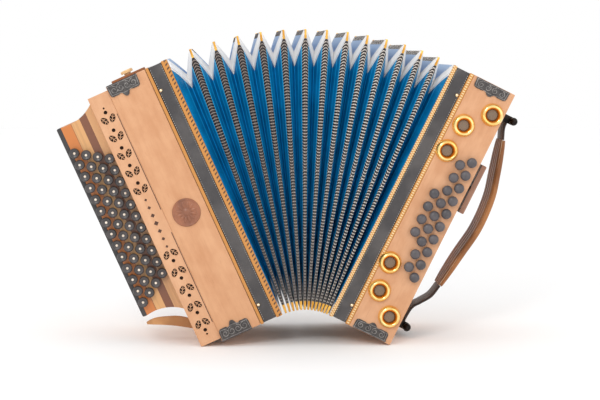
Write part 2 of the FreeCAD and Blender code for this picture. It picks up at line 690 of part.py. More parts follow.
def treble_nodes():
    nodes = {
        "treble_casing": treble_casing(), "treble_frame": bellows_frame(TREBLE, T_FRAME_IN, T_FRAME_OUT),
        "treble_frame_edging": frame_edging(TREBLE, 0, T_FRAME_IN, T_FRAME_OUT, T_CASE_IN),
        "treble_frame_pins": frame_pins(TREBLE, T_FRAME_OUT - 3),
        "treble_corner_plates": corner_plates(TREBLE, T_CASE_IN + 11, T_CASE_OUT + 0.5, 16, 21.5),
        "treble_cover": treble_cover(), "cover_cloth": cover_cloth(), "medallion": medallion(),
        "fingerboard": fingerboard(), "fingerboard_body": fingerboard_body(),
        "fingerboard_edge": fingerboard_edge(), "treble_soundboard": treble_soundboard(),
        "treble_reed_blocks": treble_reed_blocks(), "treble_reed_plates": treble_reed_plates(),
        "lever_axle": lever_axle(), "strap_eyes": strap_eyes(), "strap_tab": strap_tab(),
        "strap_stud": strap_stud(), "lower_strap": lower_strap()}
    for row in range(len(ROW_COUNTS)):
        places = [(out, z) for r, out, z in button_places() if r == row]
        nodes[f"treble_buttons_row_{row + 1}"] = group(treble_button(out, z) for out, z in places)
        nodes[f"treble_levers_row_{row + 1}"] = group(treble_lever(row, out, z) for out, z in places)
    return {name: swing(shape, TREBLE_DEG) for name, shape in nodes.items()}


def bellows_nodes():
    nodes = {f"bellows_fold_{i + 1:02d}": swing(fold_crest(), angle) for i, angle in enumerate(fold_angles())}
    nodes["bellows_pleats"] = bellows_pleats()
    return nodes


def bass_nodes():
    nodes = {
        "bass_casing": bass_casing(), "bass_frame": bellows_frame(BASS, B_INNER_EDGING, B_FRAME_OUT),
        "bass_frame_edging": frame_edging(BASS, 0, B_INNER_EDGING, B_FRAME_OUT, B_CASE_IN),
        "bass_frame_pins": frame_pins(BASS, B_FRAME_OUT - 3),
        "bass_corner_plates": corner_plates(BASS, B_CASE_IN + 3, B_CASE_OUT - 6, 13, 16.5),
        "bass_horns": group(bass_horn(along, out) for along, out in HORNS),
        "bass_soundboard": bass_soundboard(), "bass_reed_blocks": bass_reed_blocks(),
        "hand_strap": hand_strap(), "hand_strap_band": hand_strap_band(),
        "strap_brackets": group(strap_bracket(*place) for place in (BRACKET_UP, BRACKET_DOWN)),
        "strap_roller_upper": strap_roller(*BRACKET_UP), "strap_roller_lower": strap_roller(*BRACKET_DOWN),
        "air_key_plate": air_key_plate(), "air_key": air_key(), "air_valve": air_valve()}
    for row in range(len(BASS_ROWS)):
        places = [(out, z) for r, out, z in bass_button_places() if r == row]
        nodes[f"bass_buttons_row_{row + 1}"] = group(bass_button(out, z) for out, z in places)
    return {name: swing(shape, BASS_DEG) for name, shape in nodes.items()}


def all_nodes():
    """Every node in its place, with the origin under the middle of the whole."""
    nodes = {**treble_nodes(), **bellows_nodes(), **bass_nodes()}
    box = group(nodes.values()).BoundBox
    shift = V(-(box.XMin + box.XMax) / 2, -(box.YMin + box.YMax) / 2, -box.ZMin)
    for shape in nodes.values():
        shape.translate(shift)
    return nodes, shift


def write_nodes():
    os.makedirs("parts", exist_ok=True)
    nodes, _ = all_nodes()
    for name, shape in nodes.items():
        shape.exportStep(f"parts/{name}.step")
        print(name, len(shape.Solids), round(shape.Volume), shape.isValid())


if __name__ == "__main__":
    write_nodes()
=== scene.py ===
# %% [markdown]
# # A Styrian button accordion, fanned open
# The frame comes from the CAD model: every body, node and joint. This script adds the looks:
# wood, leather, brass, and above all the bellows, whose pleats lie between the folds.

# %% Load the frame
import json
import math
import bmesh
import bpy
from mathutils import Matrix, Vector


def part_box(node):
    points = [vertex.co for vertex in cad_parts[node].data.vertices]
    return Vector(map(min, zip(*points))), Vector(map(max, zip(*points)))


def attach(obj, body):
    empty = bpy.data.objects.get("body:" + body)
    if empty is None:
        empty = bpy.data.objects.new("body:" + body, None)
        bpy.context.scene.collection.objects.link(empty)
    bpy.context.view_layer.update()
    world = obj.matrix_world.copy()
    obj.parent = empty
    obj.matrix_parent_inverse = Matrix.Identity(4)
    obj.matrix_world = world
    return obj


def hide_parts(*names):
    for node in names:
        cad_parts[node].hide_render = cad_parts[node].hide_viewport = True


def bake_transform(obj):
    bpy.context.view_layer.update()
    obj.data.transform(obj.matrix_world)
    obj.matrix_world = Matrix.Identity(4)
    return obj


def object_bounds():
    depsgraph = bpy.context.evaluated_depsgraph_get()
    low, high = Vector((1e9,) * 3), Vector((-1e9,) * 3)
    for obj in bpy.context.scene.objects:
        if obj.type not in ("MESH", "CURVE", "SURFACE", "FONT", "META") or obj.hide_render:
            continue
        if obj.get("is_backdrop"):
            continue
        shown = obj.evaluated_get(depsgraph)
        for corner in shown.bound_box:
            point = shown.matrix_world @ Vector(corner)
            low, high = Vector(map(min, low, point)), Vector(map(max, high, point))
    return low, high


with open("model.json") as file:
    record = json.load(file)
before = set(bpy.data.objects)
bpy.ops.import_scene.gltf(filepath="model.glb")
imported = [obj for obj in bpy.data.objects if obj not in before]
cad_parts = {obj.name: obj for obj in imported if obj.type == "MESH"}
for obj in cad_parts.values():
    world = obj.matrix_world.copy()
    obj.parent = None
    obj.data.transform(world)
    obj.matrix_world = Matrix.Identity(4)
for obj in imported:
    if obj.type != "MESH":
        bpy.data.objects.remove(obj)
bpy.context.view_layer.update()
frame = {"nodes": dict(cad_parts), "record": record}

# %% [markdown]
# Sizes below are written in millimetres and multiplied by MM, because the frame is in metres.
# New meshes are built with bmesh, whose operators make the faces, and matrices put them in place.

MM = 0.001

# %% [markdown]
# ## Where things are
# Both halves of the instrument are built upright in a flat layout: "out" runs from the bellows
# outwards, y from front to back, and z from the line where the halves' inner faces would meet.
# One matrix for each half turns that layout to its place. It is found from the strap eye on the
# treble half's back, because the frame gives that eye's place and the direction of its hole.

# %% The layout's two matrices
TREBLE, BASS = -1, 1
TREBLE_DEG, BASS_DEG = -24.1, 26.4
FOOT, LENGTH, DEPTH = 70 * MM, 357 * MM, 190 * MM
TOP, MID = FOOT + LENGTH, FOOT + LENGTH / 2
FRONT, BACK = -DEPTH / 2, DEPTH / 2
EYE_LAYOUT = Vector((-57 * MM, 104 * MM, TOP - 40 * MM))
eye = next(m for m in frame["record"]["mounts"] if m["name"] == "strap_eye_upper")
APEX = Vector(eye["pos_m"]) - Matrix.Rotation(math.radians(TREBLE_DEG), 3, "Y") @ EYE_LAYOUT
print("the fan's apex is at", [round(v, 4) for v in APEX])


def layout(degrees):
    """The matrix that takes the flat layout to its place in the fan."""
    return Matrix.Translation(APEX) @ Matrix.Rotation(math.radians(degrees), 4, "Y")


HALF = {TREBLE: layout(TREBLE_DEG), BASS: layout(BASS_DEG)}

# %% [markdown]
# The widths of each half's layers, outwards from the bellows, are the CAD model's own. They
# could be read back from the CAD boxes, but those are turned in the fan, and a short list is
# easier to follow.

# %% Layers of the two halves
T_FRAME_IN, T_FRAME_OUT, T_CASE_IN, T_CASE_OUT = 8 * MM, 25.5 * MM, 30 * MM, 84 * MM
T_COVER_OUT, T_BOARD_OUT, T_STRIP_OUT = 111 * MM, 159 * MM, 165 * MM
B_FRAME_IN, B_FRAME_OUT, B_CASE_IN, B_CASE_OUT = 5 * MM, 23 * MM, 29 * MM, 87 * MM
BOARD_FACE = FRONT + 23 * MM
COVER_TOP, COVER_FOOT, COVER_FACE = TOP - 5.5 * MM, FOOT + 5.5 * MM, FRONT + 1.5 * MM
LEAF_LINE = -97.5 * MM
print("the casings are", round(LENGTH / MM), "mm long and", round(DEPTH / MM), "mm deep")

# %% [markdown]
# ## Writing materials as sums
# A material is a graph of nodes. Python operators on a small wrapper add the Math nodes, so that
# a pattern reads like a formula. Every other node comes from one method, `add`.


# %% The wrapper and the paint box
class Flow:
    """A socket's value. Sums on it add Math nodes."""

    def __init__(self, paint, socket):
        self.paint, self.socket = paint, socket

    def math(self, operation, *others):
        return self.paint.add("ShaderNodeMath", {"operation": operation}, self, *others)

    def __add__(self, other):
        return self.math("ADD", other)

    def __sub__(self, other):
        return self.math("SUBTRACT", other)

    def __rsub__(self, other):
        return self.paint.add("ShaderNodeMath", {"operation": "SUBTRACT"}, other, self)

    def __mul__(self, other):
        return self.math("MULTIPLY", other)

    def __truediv__(self, other):
        return self.math("DIVIDE", other)

    def __lt__(self, other):
        return self.math("LESS_THAN", other)

    def __gt__(self, other):
        return self.math("GREATER_THAN", other)

    def __abs__(self):
        return self.math("ABSOLUTE")

    __radd__ = __add__
    __rmul__ = __mul__


class Paint:
    """One procedural material, with a Principled shader at its end."""

    def __init__(self, name, **constants):
        self.material = bpy.data.materials.new(name)
        self.material.use_nodes = True
        self.tree = self.material.node_tree
        self.shader = self.tree.nodes["Principled BSDF"]
        for key, value in constants.items():
            self.shader.inputs[key.replace("_", " ")].default_value = value

    def add(self, kind, settings, *values, out=0, **named):
        node = self.tree.nodes.new(kind)
        for key, value in settings.items():
            setattr(node, key, value)
        for key, value in list(enumerate(values)) + list(named.items()):
            socket = node.inputs[key.replace("_", " ") if isinstance(key, str) else key]
            if isinstance(value, Flow):
                self.tree.links.new(value.socket, socket)
            elif value is not None:
                socket.default_value = value
        return Flow(self, node.outputs[out])

    def place(self):
        return self.add("ShaderNodeTexCoord", {}, out=3)

    def parts(self, vector):
        node = self.add("ShaderNodeSeparateXYZ", {}, vector).socket.node
        return [Flow(self, socket) for socket in node.outputs]

    def uv_mm(self):
        """The piece's own UV map, which is in millimetres."""
        return self.parts(self.add("ShaderNodeTexCoord", {}, out=2))[:2]

    def stretch(self, vector, scale):
        return self.add("ShaderNodeMapping", {}, vector, Scale=scale)

    def unturn(self, degrees):
        """Object coordinates turned back to a half's upright layout, in metres."""
        return self.add("ShaderNodeMapping", {"vector_type": "TEXTURE"}, self.place(),
                        Location=tuple(APEX), Rotation=(0, math.radians(degrees), 0))

    def noise(self, vector, scale, detail=4.0):
        return self.add("ShaderNodeTexNoise", {}, Vector=vector, Scale=scale, Detail=detail,
                        Roughness=0.55)

    def step(self, value, low, high):
        """0 below low, 1 above high, and a smooth ramp between them."""
        return self.add("ShaderNodeMapRange", {"interpolation_type": "SMOOTHSTEP"},
                        value, low, high, 0.0, 1.0)

    def mix(self, share, first, second):
        """From the first to the second, each a flow or a screen colour from 0 to 255."""
        node = self.add("ShaderNodeMix", {"data_type": "RGBA"}, share).socket.node
        for socket, value in ((node.inputs[6], first), (node.inputs[7], second)):
            if isinstance(value, Flow):
                self.tree.links.new(value.socket, socket)
            else:
                socket.default_value = (*colour(value), 1)
        return Flow(self, node.outputs[2])

    def feed(self, name, value):
        self.tree.links.new(value.socket, self.shader.inputs[name])

    def bump(self, height, distance, strength=1.0):
        """Relief of the given height in metres."""
        self.feed("Normal", self.add("ShaderNodeBump", {}, Strength=strength, Distance=distance,
                                     Height=height))

    def worn(self, share, dark, light):
        """Two tones of one colour in soft patches, as handling leaves them."""
        self.feed("Base Color", self.mix(self.step(share, 0.3, 0.7), dark, light))


def colour(screen):
    """A screen colour from 0 to 255 as the linear values that a shader takes."""
    return tuple(((c / 255 + 0.055) / 1.055) ** 2.4 if c > 10 else c / 255 / 12.92
                 for c in screen)


def give(node, paint):
    """Puts a material on a CAD node."""
    data = frame["nodes"][node].data
    data.materials.clear()
    data.materials.append(paint.material)


# %% [markdown]
# ## Wood
# The casings are pale, slightly pink maple. Its figure is faint: long soft streaks along the
# boards, a little mottling across them, and open pores that catch the light. A picture of wood
# could be laid on, but noise stretched along the boards has no seams and no repeat. The grain
# is turned with each half, so that it runs along the real boards.


# %% Maple, in each half's own direction
def wood(name, degrees, light, dark, streak, roughness=0.38):
    paint = Paint(name, Coat_Weight=0.25, Coat_Roughness=0.18)
    grain = paint.unturn(degrees)
    long_streaks = paint.noise(paint.stretch(grain, (90, 90, 5)), 1.0, 5)
    mottle = paint.noise(paint.stretch(grain, (70, 70, 40)), 1.0, 5)
    pores = paint.noise(paint.stretch(grain, (1300, 1300, 60)), 1.0, 2)
    base = paint.mix(paint.step(long_streaks * 0.45 + mottle * 0.55, 0.3, 0.7), dark, light)
    base = paint.mix(paint.step(pores, 0.62, 0.74) * 0.3, base, streak)
    paint.feed("Base Color", base)
    paint.feed("Roughness", roughness + paint.noise(grain, 60) * 0.12)
    paint.bump(pores * 0.3 + long_streaks, 0.00025, 0.35)
    return paint


maple_t = wood("maple_treble", TREBLE_DEG, (208, 155, 113), (192, 135, 92), (170, 112, 72))
maple_b = wood("maple_bass", BASS_DEG, (210, 158, 118), (194, 138, 96), (170, 112, 72))
cover_maple = wood("maple_cover", TREBLE_DEG, (212, 162, 122), (197, 143, 102), (174, 116, 78))
SPRUCE = ((226, 190, 140), (205, 160, 105), (160, 110, 60))
spruce_t = wood("spruce_treble", TREBLE_DEG, *SPRUCE)
spruce_b = wood("spruce_bass", BASS_DEG, *SPRUCE)
walnut_b = wood("walnut_key", BASS_DEG, (172, 124, 96), (140, 94, 70), (84, 50, 36), 0.34)
walnut_t = wood("walnut_medallion", TREBLE_DEG, (158, 98, 66), (122, 72, 48), (70, 38, 26), 0.4)
black_wood = wood("black_edge", TREBLE_DEG, (58, 54, 54), (40, 37, 38), (20, 18, 18), 0.4)
print(len(bpy.data.materials), "materials so far")
for name in ("treble_soundboard", "treble_reed_blocks"):
    give(name, spruce_t)
for name in ("bass_soundboard", "bass_reed_blocks"):
    give(name, spruce_b)
give("air_valve", walnut_b)

# %% [markdown]
# The fingerboard is glued up from strips of light, orange and dark wood that run its length. The
# strip a point lies in follows from how far out it is, so a stepped colour ramp makes the strips.


# %% Laminated strips
# Where each strip starts, as a share of the board's width outwards from the cover, and its tone.
STRIPS = ((0.0, (206, 156, 106)), (0.24, (122, 74, 48)), (0.45, (210, 158, 102)),
          (0.7, (150, 92, 48)), (0.715, (196, 116, 52)))


def striped_wood():
    paint = Paint("laminated_strips", Coat_Weight=0.3, Coat_Roughness=0.15)
    grain = paint.unturn(TREBLE_DEG)
    out = paint.parts(grain)[0] * -1000
    share = (out - T_COVER_OUT * 1000) / ((T_BOARD_OUT - T_COVER_OUT) * 1000)
    ramp = paint.tree.nodes.new("ShaderNodeValToRGB")
    ramp.color_ramp.interpolation = "CONSTANT"
    for i, (at, tone) in enumerate(STRIPS):
        stop = ramp.color_ramp.elements[i] if i < 2 else ramp.color_ramp.elements.new(at)
        stop.position = at
        stop.color = (*colour(tone), 1)
    paint.tree.links.new(share.socket, ramp.inputs[0])
    tone = Flow(paint, ramp.outputs[0])
    streaks = paint.noise(paint.stretch(grain, (260, 260, 9)), 1.0, 5)
    dark = paint.mix(0.45, tone, (96, 52, 30))
    paint.feed("Base Color", paint.mix(paint.step(streaks, 0.48, 0.66) * 0.35, tone, dark))
    paint.feed("Roughness", 0.3 + streaks * 0.15)
    paint.bump(streaks, 0.0002, 0.3)
    return paint


strips = striped_wood()
print("the fingerboard has", len(STRIPS), "bands of wood")

# %% [markdown]
# ## Softened copies of the CAD boxes
# A joiner breaks every edge. The CAD solids have sharp ones, so each visible wooden or leather
# part is copied, its loose triangles are joined into real faces, and a Bevel modifier rounds
# the edges. A modifier is used so that the width stays one number. The copy stands for the CAD
# node and rides on the same body.


# %% Softening
def body_of(node):
    return next(b for b, nodes in frame["record"]["behaviour"]["bodies"].items() if node in nodes)


def finish_piece(name, mesh, paint, body, stands_for=()):
    """Makes a piece from a bmesh that is already in place, and rides it on its body."""
    data = bpy.data.meshes.new(name)
    mesh.to_mesh(data)
    mesh.free()
    piece = bpy.data.objects.new(name, data)
    bpy.context.scene.collection.objects.link(piece)
    data.materials.clear()
    data.materials.append(paint.material)
    print(f"  {name}: {len(data.polygons)} faces on {body}")
    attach(piece, body)
    if stands_for:
        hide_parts(*stands_for)
    return piece


def copies(mesh, small, places):
    """Adds a copy of a small mesh at each place, which is a matrix."""
    data = bpy.data.meshes.new("small")
    small.to_mesh(data)
    small.free()
    for place in places:
        one = data.copy()
        one.transform(place)
        mesh.from_mesh(one)
        bpy.data.meshes.remove(one)


def repeated(small, places, side):
    """One mesh with a copy of a small one at each place of a half's layout."""
    mesh = bmesh.new()
    copies(mesh, small, places)
    mesh.transform(HALF[side])
    return mesh


def smooth(piece, degrees=35):
    for face in piece.data.polygons:
        face.use_smooth = True
    piece.data.set_sharp_from_angle(angle=math.radians(degrees))
    return piece


def bevel(piece, width):
    """A rounded edge, as a modifier."""
    modifier = piece.modifiers.new("edges", "BEVEL")
    modifier.width, modifier.segments = width, 3
    modifier.limit_method, modifier.angle_limit = "ANGLE", math.radians(40)
    modifier.harden_normals = True


def soften(node, paint, width):
    """A copy of a CAD node with rounded edges, in its place."""
    mesh = bmesh.new()
    mesh.from_mesh(frame["nodes"][node].data)
    bmesh.ops.remove_doubles(mesh, verts=mesh.verts, dist=1e-6)
    bmesh.ops.dissolve_limit(mesh, angle_limit=math.radians(1), verts=mesh.verts, edges=mesh.edges)
    piece = finish_piece(f"{node}_finished", mesh, paint, body_of(node), [node])
    smooth(piece)
    bevel(piece, width)


for name, paint, width in (("treble_casing", maple_t, 0.0016),
                           ("treble_cover", cover_maple, 0.0008),
                           ("bass_casing", maple_b, 0.0012),
                           ("fingerboard", strips, 0.0009),
                           ("fingerboard_body", maple_t, 0.0009),
                           ("fingerboard_edge", black_wood, 0.0005)):
    soften(name, paint, width)

# %% [markdown]
# ## Leather
# The bellows frames are wrapped in thin dark leather. Its grain is a fine network of creases,
# for which the distance to the edge of Voronoi cells is a close match: each cell is one raised
# scale. A row of light stitches runs along each edge.


# %% Leather
def leather(name, light, dark, roughness, grain_size=900):
    paint = Paint(name, Sheen_Weight=0.08, Sheen_Roughness=0.5)
    place = paint.place()
    cells = paint.add("ShaderNodeTexVoronoi", {"feature": "DISTANCE_TO_EDGE"}, Vector=place,
                      Scale=grain_size)
    wear = paint.noise(place, 22, 5)
    creases = paint.step(cells, 0.0, 0.12)
    paint.feed("Base Color", paint.mix(paint.step(wear, 0.35, 0.68), dark, light))
    paint.feed("Roughness", roughness + wear * 0.2 - creases * 0.08)
    paint.bump(creases + paint.noise(place, 260) * 0.8, 0.00022, 0.6)
    return paint


frame_leather = leather("frame_leather", (82, 78, 77), (58, 55, 56), 0.46)
brown_leather = leather("brown_leather", (176, 112, 62), (138, 82, 42), 0.42, 700)
dark_leather = leather("dark_leather", (74, 50, 38), (46, 31, 25), 0.42, 700)
white_thread = Paint("white_thread", Roughness=0.7)
white_thread.feed("Base Color", white_thread.mix(white_thread.noise(white_thread.place(), 900),
                                                 (170, 166, 160), (226, 222, 214)))
for name in ("treble_frame", "bass_frame"):
    soften(name, frame_leather, 0.0012)


# %% [markdown]
# Stitches repeat hundreds of times, so each is a small sphere of few faces, stretched along the
# seam. A pattern in the leather could stand for them, but real beads of thread catch the light
# and cast a small shadow.


# %% Stitches on the frames
def seam(start, end, pitch):
    """Places along a straight seam between two points of a layout."""
    way = end - start
    count = int(way.length / pitch)
    turn = way.to_track_quat("X", "Z").to_matrix().to_4x4()
    return [Matrix.Translation(start + way * ((i + 0.5) / count)) @ turn for i in range(count)]


def frame_stitching(side, inner, outer, body, name):
    """Two rows of stitches round a frame, set in from its inner and outer edges."""
    lift, clear, pitch, set_in = 1 * MM, 4 * MM, 3 * MM, 1.3 * MM
    places = []
    for out in (side * (inner + set_in), side * (outer - set_in)):
        for y in (FRONT + lift, BACK - lift):
            places += seam(Vector((out, y, FOOT + clear)), Vector((out, y, TOP - clear)), pitch)
        for z in (FOOT + lift, TOP - lift):
            places += seam(Vector((out, FRONT + clear, z)), Vector((out, BACK - clear, z)), pitch)
    stitch = bmesh.new()
    bmesh.ops.create_uvsphere(stitch, u_segments=6, v_segments=4, radius=0.28 * MM,
                              matrix=Matrix.Diagonal((3, 1, 0.9, 1)))
    smooth(finish_piece(name, repeated(stitch, places, side), white_thread, body))


frame_stitching(TREBLE, T_FRAME_IN, T_FRAME_OUT, "treble", "treble_frame_stitches")
frame_stitching(BASS, B_FRAME_IN, B_FRAME_OUT, "bass", "bass_frame_stitches")

# %% [markdown]
# ## Edging
# Strips of patterned inlay run along both edges of the frames. On the treble half it is golden
# wood with dark ticks, like a twisted rope. On the bass half it is a chequer of cream and gold.
# Hundreds of small blocks could be modelled, but the real strip is flat, so a pattern in the
# material is truer. A point's side of the frame decides which way it runs: along z on the front
# and back, and along y on the ends.


# %% Inlay patterns
def edging(name, side, degrees, inner_width, chequer):
    """An inlaid strip. Its numbers are millimetres: out from the bellows, and along the strip."""
    paint = Paint(name, Roughness=0.35, Coat_Weight=0.4, Coat_Roughness=0.12)
    out, y, z = paint.parts(paint.unturn(degrees))
    out, y, z = out * (side * 1000), y * 1000, z * 1000
    at_end = (z < FOOT * 1000 + 0.6) + (z > TOP * 1000 - 0.6)
    along = z * (1 - at_end) + y * at_end
    inner = out < inner_width + 0.5
    gold, pale, deep = (184, 118, 40), (228, 198, 146), (74, 42, 18)
    grain = paint.noise(paint.stretch(paint.place(), (300, 300, 300)), 1.0)
    body = paint.mix(grain * 0.5, gold, (208, 150, 72))
    if chequer:
        cell, column, outer_middle = 3.2, 2.6, 26
        columns = (out / column).math("FLOOR") * inner
        square = (along / cell + columns * 0.5).math("FRACT")
        middle = abs(out - outer_middle) < 1.5
        shown = inner + (1 - inner) * middle
        pattern = paint.step(square, 0.42, 0.5) * (1 - paint.step(square, 0.92, 1.0)) * shown
        base = paint.mix(pattern, body, pale)
    else:
        tick_pitch, ply_pitch, outer_middle = 5.2, 1.9, 27.7
        tick = (along / tick_pitch + out * 0.1).math("FRACT")
        near = inner * (out < 4.4) * (out > 0.8)
        ticks = (1 - paint.step(tick, 0.34, 0.44)) * near
        line = (1 - inner) * (paint.step(abs(out - outer_middle), 1.7, 1.9))
        fine = ((along / ply_pitch + out * 0.4).math("FRACT") < 0.3) * 0.35 * (1 - ticks)
        base = paint.mix(ticks, paint.mix(fine, body, (196, 128, 52)), deep)
        base = paint.mix(line * 0.85, base, deep)
        pattern = 1 - ticks
    paint.feed("Base Color", base)
    paint.bump(pattern, 0.0003, 0.5)
    return paint


rope_edging = edging("rope_edging", TREBLE, TREBLE_DEG, 8, False)
chequer_edging = edging("chequer_edging", BASS, BASS_DEG, 5, True)
soften("treble_frame_edging", rope_edging, 0.0009)
soften("bass_frame_edging", chequer_edging, 0.0009)

# %% [markdown]
# ## Bellows
# A bellows is a stack of pleats. Between two neighbouring crests a band of card runs down to a
# valley and up again, all the way round. One loop of points is laid round the first crest, and
# the loop is extruded row by row to the valley and on to the next crest, so that the operator
# makes the faces. Each point also gets a UV in millimetres: how far it is from the nearest
# corner along the crest, and how far down the flank. The patterns follow those two numbers.

# %% Angles and sizes of the folds
FOLDS = 13
FIRST_GAP_TO_LAST = 1.48
gaps = [FIRST_GAP_TO_LAST + (1 - FIRST_GAP_TO_LAST) * i / FOLDS for i in range(FOLDS + 1)]
ANGLES = [TREBLE_DEG]
for gap in gaps:
    ANGLES.append(ANGLES[-1] + (BASS_DEG - TREBLE_DEG) * gap / sum(gaps))
FAN_BODIES = ["treble"] + [f"fold_{i:02d}" for i in range(1, FOLDS + 1)] + ["bass"]
SET_BACK = 2 * MM                   # of the crests, behind the casings' faces
FOLD_FOOT = FOOT + 0.5 * MM
VALLEY = 28 * MM                    # how deep a valley lies under its crests
PLEAT_BESIDE = 1.4 * MM             # a flank's start, beside the middle of its crest
FRAME_BESIDE = 0.3 * MM             # the same where the crest is a frame's face
NO_TAPE = 10.5                      # a flank glued to a frame has no tape down to here, in mm
print("the folds stand at", [round(a, 1) for a in ANGLES], "degrees")


# %% Points of the fan
def outline(inset, spacing=11 * MM):
    """Points round a rectangle that is inset from a crest's outline.

    Each is y, z and its distance to the nearest corner, which is negative on the two ends."""
    half, low, high = BACK - SET_BACK - inset, FOLD_FOOT + inset, TOP - inset
    corners = [(-half, high), (half, high), (half, low), (-half, low)]
    full = (2 * (BACK - SET_BACK), TOP - FOLD_FOOT)
    points = []
    for i, (start, end) in enumerate(zip(corners, corners[1:] + corners[:1])):
        steps = 2 * round(full[i % 2] / spacing / 2)
        for k in range(steps):
            t = k / steps
            y, z = (a + (b - a) * t for a, b in zip(start, end))
            points.append((y, z, full[i % 2] * min(t, 1 - t) * (-1 if i % 2 == 0 else 1)))
    return points


def fan_point(degrees, beside, y, z):
    """A point of the fan: on the sheet at an angle, moved beside it."""
    angle = math.radians(degrees)
    return APEX + Vector((beside * math.cos(angle) + z * math.sin(angle), y,
                          z * math.cos(angle) - beside * math.sin(angle)))


# %% [markdown]
# The pleats, the crest bindings and the strap are all made this way: a closed loop, extruded
# step by step through rows of points.


# %% Extruding a loop
def extruded(mesh, rows):
    """Lays a closed loop through the first row and extrudes it to each row after it."""
    loops, edges = [], []
    for places in rows:
        if not loops:
            loop = [mesh.verts.new(p) for p in places]
            edges = [mesh.edges.new(pair) for pair in zip(loop, loop[1:] + loop[:1])]
        else:
            made = bmesh.ops.extrude_edge_only(mesh, edges=edges)["geom"]
            edges = [g for g in made if isinstance(g, bmesh.types.BMEdge)]
            fresh = {g for g in made if isinstance(g, bmesh.types.BMVert)}
            loop = [next(e.other_vert(v) for e in v.link_edges if e.other_vert(v) in fresh)
                    for v in loops[-1]]
            for vert, place in zip(loop, places):
                vert.co = place
        loops.append(loop)
    return loops


def lay_uv(mesh, uv, loops, marks):
    """Gives every face corner its vertex's mark as UV, and turns the faces outwards."""
    values = {vert: mark for loop, row in zip(loops, marks) for vert, mark in zip(loop, row)}
    for face in mesh.faces:
        for corner in face.loops:
            corner[uv].uv = values[corner.vert]
    bmesh.ops.recalc_face_normals(mesh, faces=mesh.faces)


# %% [markdown]
# A pleat's rows lie closer together near its crest, where the tape's edge needs them. The two
# pleats at the ends are glued to the frames, so on that side they start flat on the frame.


# %% One pleat
ROW_INSETS = [inset * MM for inset in (0.6, 2.5, 4.8, 7.2, 11, 16, 21, 25.5, 27.6)]


def pleat_rows(first):
    """The rows of a pleat over its valley: angle, lean to the near crest, and depth."""
    start, end = ANGLES[first], ANGLES[first + 1]
    middle = (start + end) / 2
    flank = [(inset / VALLEY, inset) for inset in ROW_INSETS]
    down = [(start + (middle - start) * t, 1 - t, inset) for t, inset in flank]
    up = [(end + (middle - end) * t, t - 1, inset) for t, inset in reversed(flank)]
    return down + [(middle, 0, VALLEY)] + up


def pleat(first):
    mesh = bmesh.new()
    uv = mesh.loops.layers.uv.new("cloth")
    rows, marks = [], []
    for degrees, lean, inset in pleat_rows(first):
        at_frame = first == 0 and lean > 0 or first == FOLDS and lean < 0
        beside = (FRAME_BESIDE if at_frame else PLEAT_BESIDE) * lean
        loop = outline(inset)
        rows.append([fan_point(degrees, beside, y, z) for y, z, _ in loop])
        marks.append([(corner / MM, max(inset / MM, NO_TAPE if at_frame else 0))
                      for _, _, corner in loop])
    lay_uv(mesh, uv, extruded(mesh, rows), marks)
    return mesh


# %% [markdown]
# The pleat's finish is one material with three zones. Woven tape covers the crest. White leather
# gussets cover the corners, from the crest's tip down to a point in the valley. The rest is blue
# cloth, with painted highlights along its creases and a painted sheen on the top side's faces.


# %% Bellows cloth
def woven_tape(paint, along, down):
    """Chevrons of light thread on dark, which lean back from the crest: thread and colour."""
    pitch, slope = 3.9, 0.4
    slant = ((abs(along) + abs(down) * slope) / pitch).math("FRACT")
    light = paint.step(slant, 0.54, 0.66) * (1 - paint.step(slant, 0.86, 0.98))
    thread = light * paint.step(abs(down), 0.1, 0.5)
    # Painted shade: the light thread is greyer over the left of the fan and whiter to the right.
    right = paint.step(paint.parts(paint.place())[0], -0.06, 0.12)
    tone = paint.mix(right, (146, 134, 126), (232, 224, 214))
    return thread, paint.mix(thread, (38, 30, 30), tone)


def bellows_finish():
    """All lengths are millimetres: along the crest from its corner, and down the flank."""
    tape_wide, edge_line, middle_line, valley, gusset_long = 6.6, 8.0, 17.5, 28.0, 11.0
    paint = Paint("bellows_cloth", Specular_IOR_Level=0.22)
    along, down = paint.uv_mm()
    weave = paint.noise(paint.place(), 1500, 2)
    cloudy = paint.noise(paint.place(), 35, 4)
    top = along < 0
    along = abs(along)
    blue = paint.mix(paint.step(cloudy, 0.35, 0.7), (0, 100, 152), (0, 124, 178))
    # Painted highlights: thin lighter lines along the flank's two creases and along its valley.
    crease = ((1 - paint.step(abs(down - middle_line), 0.7, 1.5)) * 0.5
              + (1 - paint.step(valley - down, 0.8, 1.8)) * 0.75
              + (1 - paint.step(abs(down - edge_line), 0.7, 1.3)) * 0.8)
    blue = paint.mix(crease.math("MINIMUM", 1.0), blue, (36, 186, 240))
    # Painted sheen: the top side's faces are a paler blue, as the cloth looks when lit at a
    # grazing angle.
    blue = paint.mix(top, blue, (150, 178, 212))
    reach = gusset_long + down * (0.42 - 0.4 * top) - along
    gusset = paint.step(reach, -0.15, 0.15)
    kid = paint.mix(paint.noise(paint.place(), 90), (222, 222, 224), (244, 243, 241))
    seams = paint.step(abs(reach - 4.0), 0.3, 0.6) * paint.step(abs(reach - 0.6), 0.3, 0.6)
    kid = paint.mix(seams, (150, 152, 160), kid)
    tape = (1 - paint.step(down, tape_wide, tape_wide + 0.3)) * (1 - gusset)
    thread, woven = woven_tape(paint, along, down)
    paint.feed("Base Color", paint.mix(tape, paint.mix(gusset, blue, kid), woven))
    paint.feed("Roughness", 0.42 + tape * 0.3 + gusset * 0.12 + weave * 0.1)
    relief = tape * 2.2 + gusset * 1.6 + thread * tape * 0.9 + weave * 0.35 + crease * 0.8
    paint.bump(relief, 0.0003, 0.6)
    return paint


cloth = bellows_finish()
print("the bellows cloth has", len(cloth.tree.nodes), "nodes")
